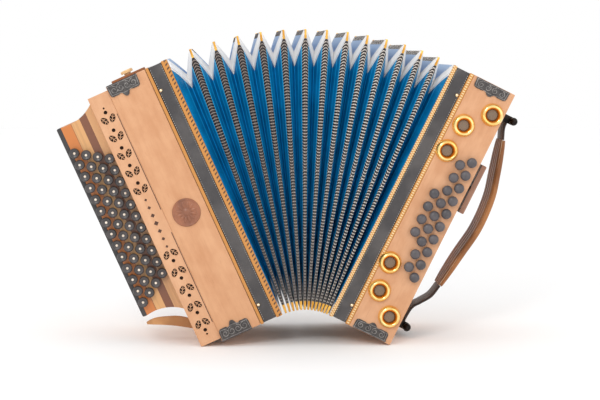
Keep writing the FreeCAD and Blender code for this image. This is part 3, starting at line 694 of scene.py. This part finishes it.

# %% [markdown]
# When the bellows moves, each pleat has to bend between the two folds beside it. An armature
# could do that, and the frame has a blend of its own, in which a point follows both bodies, shared
# out by a weight. Here each point's own angle in the fan is worked out as a share of the next
# fold's angle, but the share is not kept, and each pleat is taken off its body and stays where it
# is built.


# %% The pleats on their folds
def weigh(piece, last):
    """Works out each point's share of the next fold's turn, and keeps none of it."""
    turn = ANGLES[last] - TREBLE_DEG
    for vert in piece.data.vertices:
        point = vert.co - APEX
        angle = math.degrees(math.atan2(point.x, point.z)) - TREBLE_DEG
        min(1.0, max(0.0, angle / turn))


for first in range(FOLDS + 1):
    body = FAN_BODIES[first + 1]
    piece = smooth(finish_piece(f"pleat_{first + 1:02d}", pleat(first), cloth, body), 50)
    start, end = (fan_point(ANGLES[i], 0, 0, MID) for i in (first, first + 1))
    piece.parent = None
    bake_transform(piece)
    weigh(piece, first + 1)
    if first == 0:
        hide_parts("bellows_pleats")
    card = piece.modifiers.new("card", "SOLIDIFY")
    card.thickness, card.offset = 0.7 * MM, -1

# %% [markdown]
# ### Crest bindings
# A rounded binding of the same tape closes each crest. It could be the CAD ring with a material,
# but a ring with a UV of its own lets the weave run on from the pleats without a break.


# %% Bindings
BINDING = ((-1.45, 5.0), (-1.4, 1.0), (-1.05, 0.25), (0, -0.05), (1.05, 0.25), (1.4, 1.0),
           (1.45, 5.0))             # beside the crest's middle and below its top, in mm


def binding_finish():
    paint = Paint("crest_tape", Roughness=0.7, Sheen_Weight=0.1)
    thread, woven = woven_tape(paint, *paint.uv_mm())
    paint.feed("Base Color", woven)
    paint.bump(thread + paint.noise(paint.place(), 1500) * 0.4, 0.0003, 0.6)
    return paint


def crest_binding(index):
    """A ring of tape round a crest: a loop extruded over the rounded ridge and closed."""
    mesh = bmesh.new()
    uv = mesh.loops.layers.uv.new("tape")
    rows, marks = [], []
    for beside, inset in BINDING:
        loop = outline(inset * MM)
        rows.append([fan_point(ANGLES[index], beside * MM, y, z) for y, z, _ in loop])
        marks.append([(corner / MM, beside) for _, _, corner in loop])
    loops = extruded(mesh, rows)
    bmesh.ops.bridge_loops(mesh, edges=[e for e in mesh.edges if e.is_boundary])
    lay_uv(mesh, uv, loops, marks)
    return mesh


crest_tape = binding_finish()
for index in range(1, FOLDS + 1):
    smooth(finish_piece(f"crest_binding_{index:02d}", crest_binding(index), crest_tape,
                        FAN_BODIES[index], [f"bellows_fold_{index:02d}"]), 60)

# %% [markdown]
# Polished brass mirrors the pale room, so its colour is deep gold and its roughness is low and
# slightly uneven, like metal that is wiped with a cloth.


# %% Brass, and the other metals
def metal(name, light, dark, roughness, scale=40):
    paint = Paint(name, Metallic=1.0)
    smear = paint.noise(paint.place(), scale, 4)
    paint.worn(smear, dark, light)
    paint.feed("Roughness", roughness + smear * 0.12)
    paint.bump(smear, 0.00004, 0.4)
    return paint


brass = metal("polished_brass", (255, 228, 156), (244, 200, 112), 0.06)
# Painted shade: the throat's brass is a darker, deeper gold than the flare, for the hollow of the
# throat.
throat_shade_brass = metal("throat_shade_brass", (238, 158, 52), (204, 126, 34), 0.22)
cap_brass = metal("cap_brass", (240, 188, 92), (206, 146, 58), 0.24, 120)
pin_brass = metal("pin_brass", (255, 240, 214), (238, 206, 156), 0.16)
black_metal = metal("black_metal", (66, 60, 56), (34, 31, 30), 0.3, 90)
reed_metal = metal("milled_aluminium", (214, 216, 220), (190, 193, 198), 0.3)
steel = metal("ground_steel", (200, 200, 204), (170, 171, 176), 0.25)
give("treble_reed_plates", reed_metal)
give("lever_axle", steel)
for row in range(1, 5):
    give(f"treble_levers_row_{row}", reed_metal)
for name in ("strap_brackets", "air_key_plate"):
    soften(name, black_metal, 0.0004)
soften("strap_eyes", black_metal, 0.0003)
for name in ("treble_frame_pins", "bass_frame_pins"):
    give(name, pin_brass)

# %% [markdown]
# Folded brass caps protect the four corners of every fold. A cap is two cubes whose corners are
# moved to make tapered arms, with bevelled edges, because sheet brass never folds quite sharp.
# The caps are narrow enough to pass each other when the bellows is shut.


# %% Corner caps
def corner_cap(mesh, top, back):
    """A folded cap on one corner: two tapered arms round the crest's edge."""
    arm, deep, half, far_share, near_share = 11.5 * MM, 4.2 * MM, 1.4 * MM, 1.15, 0.75
    y_edge = (BACK - SET_BACK + 0.5 * MM) * (1 if back else -1)
    z_edge = TOP + 0.4 * MM if top else FOLD_FOOT - 0.4 * MM
    y_way, z_way = (-1 if back else 1), (-1 if top else 1)
    for along_z in (True, False):
        long, short = (z_way, y_way) if along_z else (y_way, z_way)
        for vert in bmesh.ops.create_cube(mesh, size=1.0)["verts"]:
            far = vert.co.z > 0
            depth = deep if vert.co.y > 0 else 0
            thick = math.copysign(half * (far_share if far else near_share), vert.co.x)
            a, b = long * (arm if far else depth), short * depth
            y, z = (y_edge + b, z_edge + a) if along_z else (y_edge + a, z_edge + b)
            vert.co = Vector((thick, y, z))


for index in range(1, FOLDS + 1):
    mesh = bmesh.new()
    for top in (True, False):
        for back in (True, False):
            corner_cap(mesh, top, back)
    bmesh.ops.recalc_face_normals(mesh, faces=mesh.faces)
    bmesh.ops.bevel(mesh, geom=mesh.edges[:], offset=0.35 * MM, segments=2, affect="EDGES",
                    profile=0.5, material=-1)
    mesh.transform(layout(ANGLES[index]))
    smooth(finish_piece(f"corner_caps_{index:02d}", mesh, cap_brass, FAN_BODIES[index]), 40)

# %% [markdown]
# ## Turned pieces
# Buttons, horns and the medallion are round, so each is half a profile that is spun about its
# axis, as on a lathe. Stacked cylinders would do for a rough shape, but a profile gives every
# rim and hollow in one go.


# %% Spinning
def turned(profile, steps=28):
    """Spins a profile of (radius, height) in mm about an axis that points to the front."""
    mesh = bmesh.new()
    verts = [mesh.verts.new((r * MM, -h * MM, 0)) for r, h in profile]
    edges = [mesh.edges.new(pair) for pair in zip(verts, verts[1:])]
    bmesh.ops.spin(mesh, geom=verts + edges, cent=(0, 0, 0), axis=(0, 1, 0), angle=math.tau,
                   steps=steps)
    bmesh.ops.remove_doubles(mesh, verts=mesh.verts, dist=1e-6)
    bmesh.ops.recalc_face_normals(mesh, faces=mesh.faces)
    return mesh


def stem(mesh, length):
    """Adds the plain stem behind a button."""
    place = Matrix.Translation((0, length / 2, 0)) @ Matrix.Rotation(math.pi / 2, 4, "X")
    bmesh.ops.create_cone(mesh, cap_ends=True, segments=12, radius1=2 * MM, radius2=2 * MM,
                          depth=length, matrix=place)
    return mesh


def plastic(name, light, dark, roughness, scale=60, coat=0.3):
    paint = Paint(name, Coat_Weight=coat, Coat_Roughness=0.2)
    rubbed = paint.noise(paint.place(), scale, 4)
    paint.worn(rubbed, dark, light)
    paint.feed("Roughness", roughness + rubbed * 0.14)
    paint.bump(paint.noise(paint.place(), 900), 0.00006, 0.5)
    return paint


ring_dark = plastic("button_ring", (66, 60, 60), (46, 42, 42), 0.34)
pearl = plastic("button_pearl", (236, 222, 204), (206, 188, 168), 0.22, 220)
dome_grey = plastic("bass_dome", (88, 82, 84), (64, 60, 63), 0.4, 70, 0.15)

# %% [markdown]
# A treble button is a dark ring with a dished face and a pearly dot at its centre. One button is
# spun and copied along its row, and a row is one piece, because its buttons share a body.

# %% Treble buttons
ROW_COUNTS = (14, 13, 12, 11)
BUTTON_PITCH, ROW_PITCH, BUTTON_LIFT = 16.1 * MM, 12.6 * MM, 4.2 * MM
STEM_LONG, STEM_SHORT = 16.1 * MM, 8.1 * MM
FIRST_OUT, FIRST_Z = T_STRIP_OUT - 9 * MM, COVER_TOP - 19 * MM - 36.5 * MM
RING = [(0.0, 0), (6.1, 0), (6.45, 0.5), (6.5, 3.3), (6.25, 4.3), (5.5, 4.95), (4.6, 4.9),
        (3.2, 4.35), (2.1, 4.1), (0.0, 4.1)]
DOT = [(1.6, 4.0), (1.6, 4.35), (1.2, 4.62), (0.6, 4.74), (0.0, 4.76)]


def button_row(row):
    out, y = FIRST_OUT - row * ROW_PITCH, BOARD_FACE - BUTTON_LIFT
    places = [Matrix.Translation((-out, y, FIRST_Z - (row / 2 + i) * BUTTON_PITCH))
              for i in range(ROW_COUNTS[row])]
    rings = repeated(stem(turned(RING, 24), STEM_LONG), places, TREBLE)
    dots = repeated(turned(DOT, 14), places, TREBLE)
    node = f"treble_buttons_row_{row + 1}"
    smooth(finish_piece(f"treble_rings_row_{row + 1}", rings, ring_dark, node, [node]), 40)
    smooth(finish_piece(f"treble_pearls_row_{row + 1}", dots, pearl, node), 40)


for row in range(len(ROW_COUNTS)):
    button_row(row)

# %% [markdown]
# A bass button is a plain grey dome on the same stem. Each row is told by how many buttons it
# has, how far out it lies, and how far its first button is above the casing's middle.

# %% Bass buttons
BASS_ROWS = ((10, 46.5, 77.0), (9, 34.0, 68.0), (4, 21.0, 21.0))
BASS_PITCH = 18.15
DOME = [(0.0, 0), (6.0, 0), (6.45, 0.5), (6.5, 2.3), (6.2, 3.2), (5.4, 4.2), (4.0, 5.1),
        (2.2, 5.65), (0.0, 5.8)]


def bass_row(row):
    count, out, top = BASS_ROWS[row]
    places = [Matrix.Translation((B_CASE_IN + out * MM, FRONT - BUTTON_LIFT,
                                  MID + (top - BASS_PITCH * i) * MM)) for i in range(count)]
    domes = repeated(stem(turned(DOME), STEM_SHORT), places, BASS)
    node = f"bass_buttons_row_{row + 1}"
    smooth(finish_piece(f"bass_domes_row_{row + 1}", domes, dome_grey, node, [node]), 40)


for row in range(len(BASS_ROWS)):
    bass_row(row)

# %% [markdown]
# The horn mouths are turned from brass: a rolled rim, a bright flare and a throat. The throat is
# a thin ring of its own, of less polished brass in a darker, deeper gold, which is painted shade
# for the hollow of the throat. Dark cloth closes it behind, and the same kind of cloth lies behind
# the cover's openings, woven from a fine checker pattern.


# %% Horns and sound cloth
HORNS = ((143, 43), (115, 16), (77, 11.5), (-83, 10.5), (-121, 14.5), (-146, 41))
HORN = [(6.75, -7.5), (6.75, 0.4), (7.0, 2.0), (7.7, 3.9), (8.9, 5.7), (10.2, 6.7),
        (11.2, 6.95), (12.3, 6.4), (13.2, 4.9), (13.9, 3.0), (14.4, 1.8), (14.7, 1.2),
        (14.7, 0.0), (8.4, 0.0), (8.4, -7.5), (6.75, -7.5)]
THROAT = [(6.9, 1.6), (6.95, 2.1), (7.6, 4.05), (8.75, 5.95), (9.6, 6.6), (9.7, 6.2),
          (8.9, 5.5), (7.9, 3.7), (7.2, 1.6), (6.9, 1.6)]


def open_cloth(name, degrees, scale, share, dark, light):
    paint = Paint(name, Roughness=0.9)
    weave = paint.add("ShaderNodeTexChecker", {}, Vector=paint.unturn(degrees), Scale=scale, out=1)
    paint.feed("Base Color", paint.mix(weave * share, dark, light))
    return paint


give("cover_cloth", open_cloth("sound_cloth", TREBLE_DEG, 1400.0, 0.6, (44, 32, 26),
                               (70, 54, 44)))
horn_cloth = open_cloth("horn_cloth", BASS_DEG, 1200.0, 0.7, (104, 92, 80),
                        (156, 138, 118))
places = [Matrix.Translation((B_CASE_IN + out * MM, FRONT, MID + along * MM))
          for along, out in HORNS]
disc = bmesh.new()
bmesh.ops.create_cone(
    disc, cap_ends=True, segments=24, radius1=6.6 * MM, radius2=6.6 * MM, depth=0.8 * MM,
    matrix=Matrix.Translation((0, -0.6 * MM, 0)) @ Matrix.Rotation(math.pi / 2, 4, "X"))
smooth(finish_piece("horn_mouths", repeated(turned(HORN, 48), places, BASS), brass, "bass",
                    ["bass_horns"]), 50)
smooth(finish_piece("horn_throats", repeated(turned(THROAT, 48), places, BASS), throat_shade_brass,
                    "bass"), 50)
finish_piece("horn_cloth_discs", repeated(disc, places, BASS), horn_cloth, "bass")

# %% [markdown]
# ## Corner plates
# Dark pewter plates with a scalloped edge guard the casings' corners. Their relief is a plain
# scroll, the same on every plate. It is not a bump in the material but short rods laid end to
# end on the plate, because a raised line has to show from the side as well.


# %% Plates and scrolls
def pewter_finish(name, light, dark):
    paint = Paint(name, Metallic=0.7)
    worn = paint.noise(paint.place(), 160, 5)
    paint.worn(worn, dark, light)
    paint.feed("Roughness", 0.36 + worn * 0.2)
    paint.bump(worn, 0.0002, 0.4)
    return paint


pewter = pewter_finish("pewter", (92, 88, 86), (64, 61, 61))
worn_pewter = pewter_finish("worn_pewter", (176, 172, 168), (128, 124, 122))


def ridge(points, radius):
    """The places of short rods that make a round raised line through points of a layout."""
    places = []
    for start, end in zip(points, points[1:]):
        way = end - start
        size = Matrix.Diagonal((radius, radius, way.length * 1.12, 1))
        turn = way.to_track_quat("Z", "Y").to_matrix().to_4x4()
        places.append(Matrix.Translation((start + end) / 2) @ turn @ size)
    return places


def scroll(centre, size, flip):
    """A line that curls inwards to about a quarter of its first radius."""
    turns, steps = 1.3, 13
    points = []
    for i in range(steps + 1):
        t = i / steps
        angle = math.pi / 2 + flip * math.tau * turns * t
        r = size * (1 - 0.72 * t)
        points.append(centre + Vector((math.cos(angle) * r, 0, math.sin(angle) * r)))
    return ridge(points, 0.42 * MM)


# The raised rim, as shares of a plate's width and depth.
RIM = ((0.06, 0.1), (0.08, 0.86), (0.3, 0.88), (0.42, 0.98), (0.58, 0.98), (0.7, 0.88),
       (0.92, 0.86), (0.94, 0.1), (0.06, 0.1))
CURLS = ((0.2, 1), (0.4, -1), (0.6, 1), (0.8, -1))


def plate_relief(side, out0, out1, deep):
    def spot(share, y, edge, down):
        return Vector((side * (out0 + (out1 - out0) * share), y, edge + down))

    places = []
    for edge, way in ((TOP - 0.5 * MM, -1), (FOOT + 0.5 * MM, 1)):
        for y in (FRONT - 1.4 * MM, BACK + 1.4 * MM):
            for share, flip in CURLS:
                centre = spot(share, y, edge, way * deep * 0.52)
                places += scroll(centre, deep * 0.33, flip)
            places += ridge([spot(s, y, edge, way * deep * d) for s, d in RIM], 0.34 * MM)
    wire = bmesh.new()
    bmesh.ops.create_cone(wire, cap_ends=True, segments=6, radius1=1, radius2=1, depth=1)
    return repeated(wire, places, side)


give("treble_corner_plates", pewter)
give("bass_corner_plates", pewter)
treble_relief = plate_relief(TREBLE, T_CASE_IN + 11 * MM, T_CASE_OUT + 0.5 * MM, 16 * MM)
bass_relief = plate_relief(BASS, B_CASE_IN + 3 * MM, B_CASE_OUT - 6 * MM, 13 * MM)
smooth(finish_piece("treble_plate_scrolls", treble_relief, worn_pewter, "treble"))
smooth(finish_piece("bass_plate_scrolls", bass_relief, worn_pewter, "bass"))

# %% [markdown]
# ## Medallion
# A carved disc sits on the treble casing. The carving here is a plain rosette: two rings and
# twelve petals. The rings are in the spun profile, and each petal is a flattened sphere half
# sunk in the disc, which reads as carving without any cutting.

# %% Medallion
MEDALLION = [(0.0, 0.0), (18.0, 0.0), (18.0, 1.4), (17.6, 2.0), (16.9, 2.3), (16.2, 2.2),
             (15.6, 1.7), (4.6, 1.6), (4.0, 1.9), (2.6, 2.5), (0.0, 2.7)]
PETALS = 12
disc, petal = turned(MEDALLION, 64), bmesh.new()
bmesh.ops.create_uvsphere(petal, u_segments=12, v_segments=8, radius=1 * MM,
                          matrix=Matrix.Diagonal((4.6, 0.9, 2.0, 1)))
copies(disc, petal, [Matrix.Rotation(math.tau * i / PETALS, 4, "Y")
                     @ Matrix.Translation((9.6 * MM, -1.5 * MM, 0)) for i in range(PETALS)])
disc.transform(HALF[TREBLE]
               @ Matrix.Translation((-(T_CASE_IN + T_CASE_OUT) / 2, FRONT, MID - 8 * MM)))
smooth(finish_piece("carved_medallion", disc, walnut_t, "treble", ["medallion"]), 35)

# %% [markdown]
# Each leaf opening has a midrib and side veins of the cover's own wood, left standing in the
# cut. They are thin bars, scaled cubes turned to the leaf's lean, because a fretsaw leaves
# square edges.


# %% Leaf veins
def vein_bars():
    """Along, across, length, slant in degrees and width of each bar in one leaf, in mm."""
    bars = [(0.0, 0.0, 12.6, 0.0, 0.7)]
    for along in (-2.6, 1.4):
        half = 3.7 * (1 - (abs(along) / 6.2) ** 2) - 0.3
        for side in (1, -1):
            bars.append((along + 0.6, side * half / 2, half * 1.12, side * 55, 0.6))
    return bars


def leaf_places():
    """Each leaf's middle and lean, in two sets of five pairs."""
    for end, first in ((1, COVER_TOP - 34 * MM), (-1, COVER_FOOT + 27.5 * MM)):
        for i in range(5):
            for lean in (-1, 1):
                middle = (LEAF_LINE + lean * 5.3 * MM, COVER_FACE + 1 * MM,
                          first - end * 24.4 * MM * i)
                turn = Matrix.Rotation(math.radians(lean * end * -58), 4, "Y")
                yield Matrix.Translation(middle) @ turn


places = [leaf @ Matrix.Translation((a * MM, 0, b * MM))
          @ Matrix.Rotation(math.radians(-slant), 4, "Y")
          @ Matrix.Diagonal((length * MM, 1.6 * MM, wide * MM, 1))
          for leaf in leaf_places() for a, b, length, slant, wide in vein_bars()]
bar = bmesh.new()
bmesh.ops.create_cube(bar, size=1.0)
finish_piece("leaf_veins", repeated(bar, places, TREBLE), cover_maple, "treble")

# %% [markdown]
# Two dark inlay lines run beside the cover, and a row of small burnt lozenges fills the space
# between the two sets of leaves. They stand a tenth of a millimetre proud, so that they are
# shapes of their own and never flicker in the wood.

# %% Inlay lines and lozenges
ink = Paint("burnt_wood", Roughness=0.6)
ink.feed("Base Color", ink.mix(ink.noise(ink.place(), 300), (58, 34, 22), (92, 56, 36)))
INLAY_LINE, INLAY_THICK = -84.9 * MM, 0.24 * MM
mesh = bmesh.new()
for low, high in ((99, 225), (257, 390)):
    at = Matrix.Translation((INLAY_LINE, COVER_FACE, (low + high) / 2 * MM))
    size = Matrix.Diagonal((0.9 * MM, INLAY_THICK, (high - low) * MM, 1))
    bmesh.ops.create_cube(mesh, size=1.0, matrix=at @ size)
for i in range(7):
    at = Matrix.Translation((LEAF_LINE, COVER_FACE, (211 + 10.8 * i) * MM))
    side = (4.6 - 0.6 * abs(i - 3)) * MM
    size = Matrix.Diagonal((side, INLAY_THICK, side, 1))
    bmesh.ops.create_cube(mesh, size=1.0, matrix=at @ Matrix.Rotation(math.pi / 4, 4, "Y") @ size)
mesh.transform(HALF[TREBLE])
finish_piece("inlay_lines", mesh, ink, "treble")

# %% [markdown]
# ## Hand strap
# The strap is a long pad of brown leather, layered at its edges. Its line is a smooth curve that
# bows away from the casing. A bevelled curve object could make it, but a cross-section that is
# extruded along the line keeps its flat side to the hand and can taper at the ends.

# %% The strap's line
STRAP_LINE = ((25.8, 122.5), (38.2, 79.7), (46.6, 45.5), (48.8, 3), (43.2, -39), (37.3, -86))


def through(points, count):
    """A smooth line through points, with its direction at each step: a Catmull-Rom spline."""
    ends = [points[0] * 2 - points[1]] + list(points) + [points[-1] * 2 - points[-2]]
    line = []
    for i in range(count):
        at = i / (count - 1) * (len(points) - 1)
        k = min(int(at), len(points) - 2)
        t = at - k
        a, b, c, d = ends[k:k + 4]
        line.append(0.5 * (2 * b + (c - a) * t + (2 * a - 5 * b + 4 * c - d) * t * t
                           + (3 * b - a - 3 * c + d) * t ** 3))
    return line


def sweep(points, section, count, shrink=None):
    """Extrudes a closed section, given as (thickness, depth), along points of the bass layout."""
    line = through([Vector((B_CASE_OUT + out * MM, 0, MID + along * MM)) for out, along in points],
                   count)
    mesh = bmesh.new()
    uv = mesh.loops.layers.uv.new("strap")
    rows, marks, travelled = [], [], 0.0
    for i, centre in enumerate(line):
        way = (line[min(i + 1, count - 1)] - line[max(i - 1, 0)]).normalized()
        side = Vector((-way.z, 0, way.x))
        travelled += (centre - line[i - 1]).length if i else 0
        scale = shrink(i / (count - 1)) if shrink else 1.0
        rows.append([centre + side * (a * scale) + Vector((0, b * (0.5 + 0.5 * scale), 0))
                     for a, b in section])
        marks.append([(travelled / MM, k) for k in range(len(section))])
    loops = extruded(mesh, rows)
    mesh.faces.new(loops[0])
    mesh.faces.new(loops[-1])
    lay_uv(mesh, uv, loops, marks)
    mesh.transform(HALF[BASS])
    return mesh


def rounded(half_thick, half_wide, radius, steps=4):
    """A rectangle with round corners."""
    points = []
    for ca, cb, start in ((1, 1, 0), (-1, 1, 90), (-1, -1, 180), (1, -1, 270)):
        for i in range(steps + 1):
            angle = math.radians(start + 90 * i / steps)
            points.append((ca * (half_thick - radius) + radius * math.cos(angle),
                           cb * (half_wide - radius) + radius * math.sin(angle)))
    return points


# %% [markdown]
# The strap's outer leather is brown, and layers with light edges show along its sides. The
# layers are separate thin bands, so that they read as leather laid on leather. Four padded
# ridges run along the side that the hand touches.

# %% Strap layers
strap_leather = leather("strap_leather", (174, 114, 60), (134, 82, 38), 0.4, 700)
lining_leather = leather("lining_leather", (214, 196, 172), (176, 150, 122), 0.5, 700)
ridge_leather = leather("ridge_leather", (160, 114, 70), (108, 72, 44), 0.36, 700)


def tapered(t):
    """Full in the middle, thinner towards both ends."""
    return 1.0 - 0.38 * (abs(2 * t - 1) ** 6)


def shifted(points, by):
    """The strap's line moved out from the casing."""
    return tuple((out + by, along) for out, along in points)


section = rounded(3.6 * MM, 28 * MM, 2.6 * MM)
pad = smooth(finish_piece("strap_pad", sweep(shifted(STRAP_LINE, 0.4), section, 60, tapered),
                          strap_leather, "bass", ["hand_strap"]), 60)
ridges = bmesh.new()
for k in range(4):
    y = (-20.4 + 13.6 * k) * MM
    cord = [(a - 2.9 * MM, b + y) for a, b in rounded(1.7 * MM, 5.6 * MM, 1.6 * MM)]
    copies(ridges, sweep(STRAP_LINE, cord, 44, tapered), [Matrix.Identity(4)])
smooth(finish_piece("strap_ridges", ridges, ridge_leather, "bass"), 60)
lining = sweep(shifted(STRAP_LINE, -1.9), rounded(0.7 * MM, 27.4 * MM, 0.5 * MM, 2), 50, tapered)
smooth(finish_piece("strap_lining", lining, lining_leather, "bass"), 60)
UPPER_BAND = ((19.1, 150), (19.5, 138), (25.4, 123.1))
LOWER_BAND = ((37.3, -86.8), (33.5, -104), (24.5, -118), (17, -130), (15.1, -154))
section = rounded(1.5 * MM, 20 * MM, 1.2 * MM, 3)
smooth(finish_piece("strap_band_upper", sweep(UPPER_BAND, section, 24), dark_leather, "bass",
                    ["hand_strap_band"]), 60)
smooth(finish_piece("strap_band_lower", sweep(LOWER_BAND, section, 36), dark_leather, "bass"), 60)

# %% [markdown]
# ## Key, rollers and the small leather parts
# These keep their CAD shape, with softened edges and their own finishes. New shapes would add
# nothing, because the CAD ones are already the size that the hand feels.

# %% Small parts
soften("air_key", walnut_b, 0.0006)
for name in ("strap_roller_upper", "strap_roller_lower"):
    give(name, black_metal)
give("strap_stud", plastic("cream_stud", (226, 186, 130), (196, 146, 88), 0.3))
soften("strap_tab", brown_leather, 0.0006)
tan_leather = leather("tan_leather", (204, 150, 96), (164, 110, 62), 0.45, 700)
soften("lower_strap", tan_leather, 0.0005)

# %% [markdown]
# ## Stage, light and camera
# The room is white and the light is soft and wide, as in a studio. Most of it comes evenly from
# the world. One lamp above the front gives the shapes a lit side, a weaker one on the right
# keeps the shadows open, and a pale floor carries them.

# %% Floor and lights
floor_mesh = bmesh.new()
FLOOR_HALF = 6.0
bmesh.ops.create_grid(floor_mesh, x_segments=1, y_segments=1, size=FLOOR_HALF)
floor_data = bpy.data.meshes.new("floor")
floor_mesh.to_mesh(floor_data)
floor_mesh.free()
floor = bpy.data.objects.new("floor", floor_data)
bpy.context.scene.collection.objects.link(floor)
pale = Paint("pale_floor", Base_Color=(1, 1, 1, 1), Roughness=0.9)
floor_data.materials.append(pale.material)
floor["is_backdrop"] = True

world = bpy.data.worlds.new("studio")
world.use_nodes = True
world.node_tree.nodes["Background"].inputs["Color"].default_value = (1, 1, 1, 1)
world.node_tree.nodes["Background"].inputs["Strength"].default_value = 1.0
bpy.context.scene.world = world


def lamp(name, place, target, size, power):
    light = bpy.data.lights.new(name, "AREA")
    light.shape, light.size, light.energy = "SQUARE", size, power
    holder = bpy.data.objects.new(name, light)
    bpy.context.scene.collection.objects.link(holder)
    turn = (Vector(target) - Vector(place)).to_track_quat("-Z", "Y").to_matrix().to_4x4()
    holder.matrix_world = Matrix.Translation(place) @ turn


lamp("key_light", (-0.7, -2.2, 1.5), (0, 0, 0.2), 0.6, 17)
lamp("fill_light", (1.4, -2.0, 0.9), (0, 0, 0.2), 1.2, 6)

# %% [markdown]
# The camera stands a little to the left of the middle and a little above it. A long lens from
# more than two metres keeps the two halves nearly free of perspective, as in a catalogue. The
# lens follows from how wide the view is at the instrument's front, so the distance can change
# without changing the framing.

# %% Camera
VIEW_WIDTH, DISTANCE, SENSOR = 0.762, 2.2, 36.0
LEFT, UP = math.radians(3.0), math.radians(5.0)
centre = APEX + Vector((-6.2 * MM, 0, 211.3 * MM))
centre.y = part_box("bass_casing")[0][1]
camera_data = bpy.data.cameras.new("camera")
camera_data.sensor_width = SENSOR
camera_data.lens = SENSOR * DISTANCE / VIEW_WIDTH
camera = bpy.data.objects.new("camera", camera_data)
bpy.context.scene.collection.objects.link(camera)
way = Vector((-math.sin(LEFT), -math.cos(LEFT) * math.cos(UP), math.sin(UP)))
stand = centre + way * DISTANCE
turn = (centre - stand).to_track_quat("-Z", "Y").to_matrix().to_4x4()
camera.matrix_world = Matrix.Translation(stand) @ turn
bpy.context.scene.camera = camera
bpy.context.scene.view_settings.view_transform = "Standard"
print("the lens is", round(camera_data.lens), "mm")

# %% [markdown]
# Last, the outer size of the finished model is measured. It should agree with the CAD's to about
# a millimetre, since the looks are only a skin on the same shapes.

# %% Sizes, then the end
low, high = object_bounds()
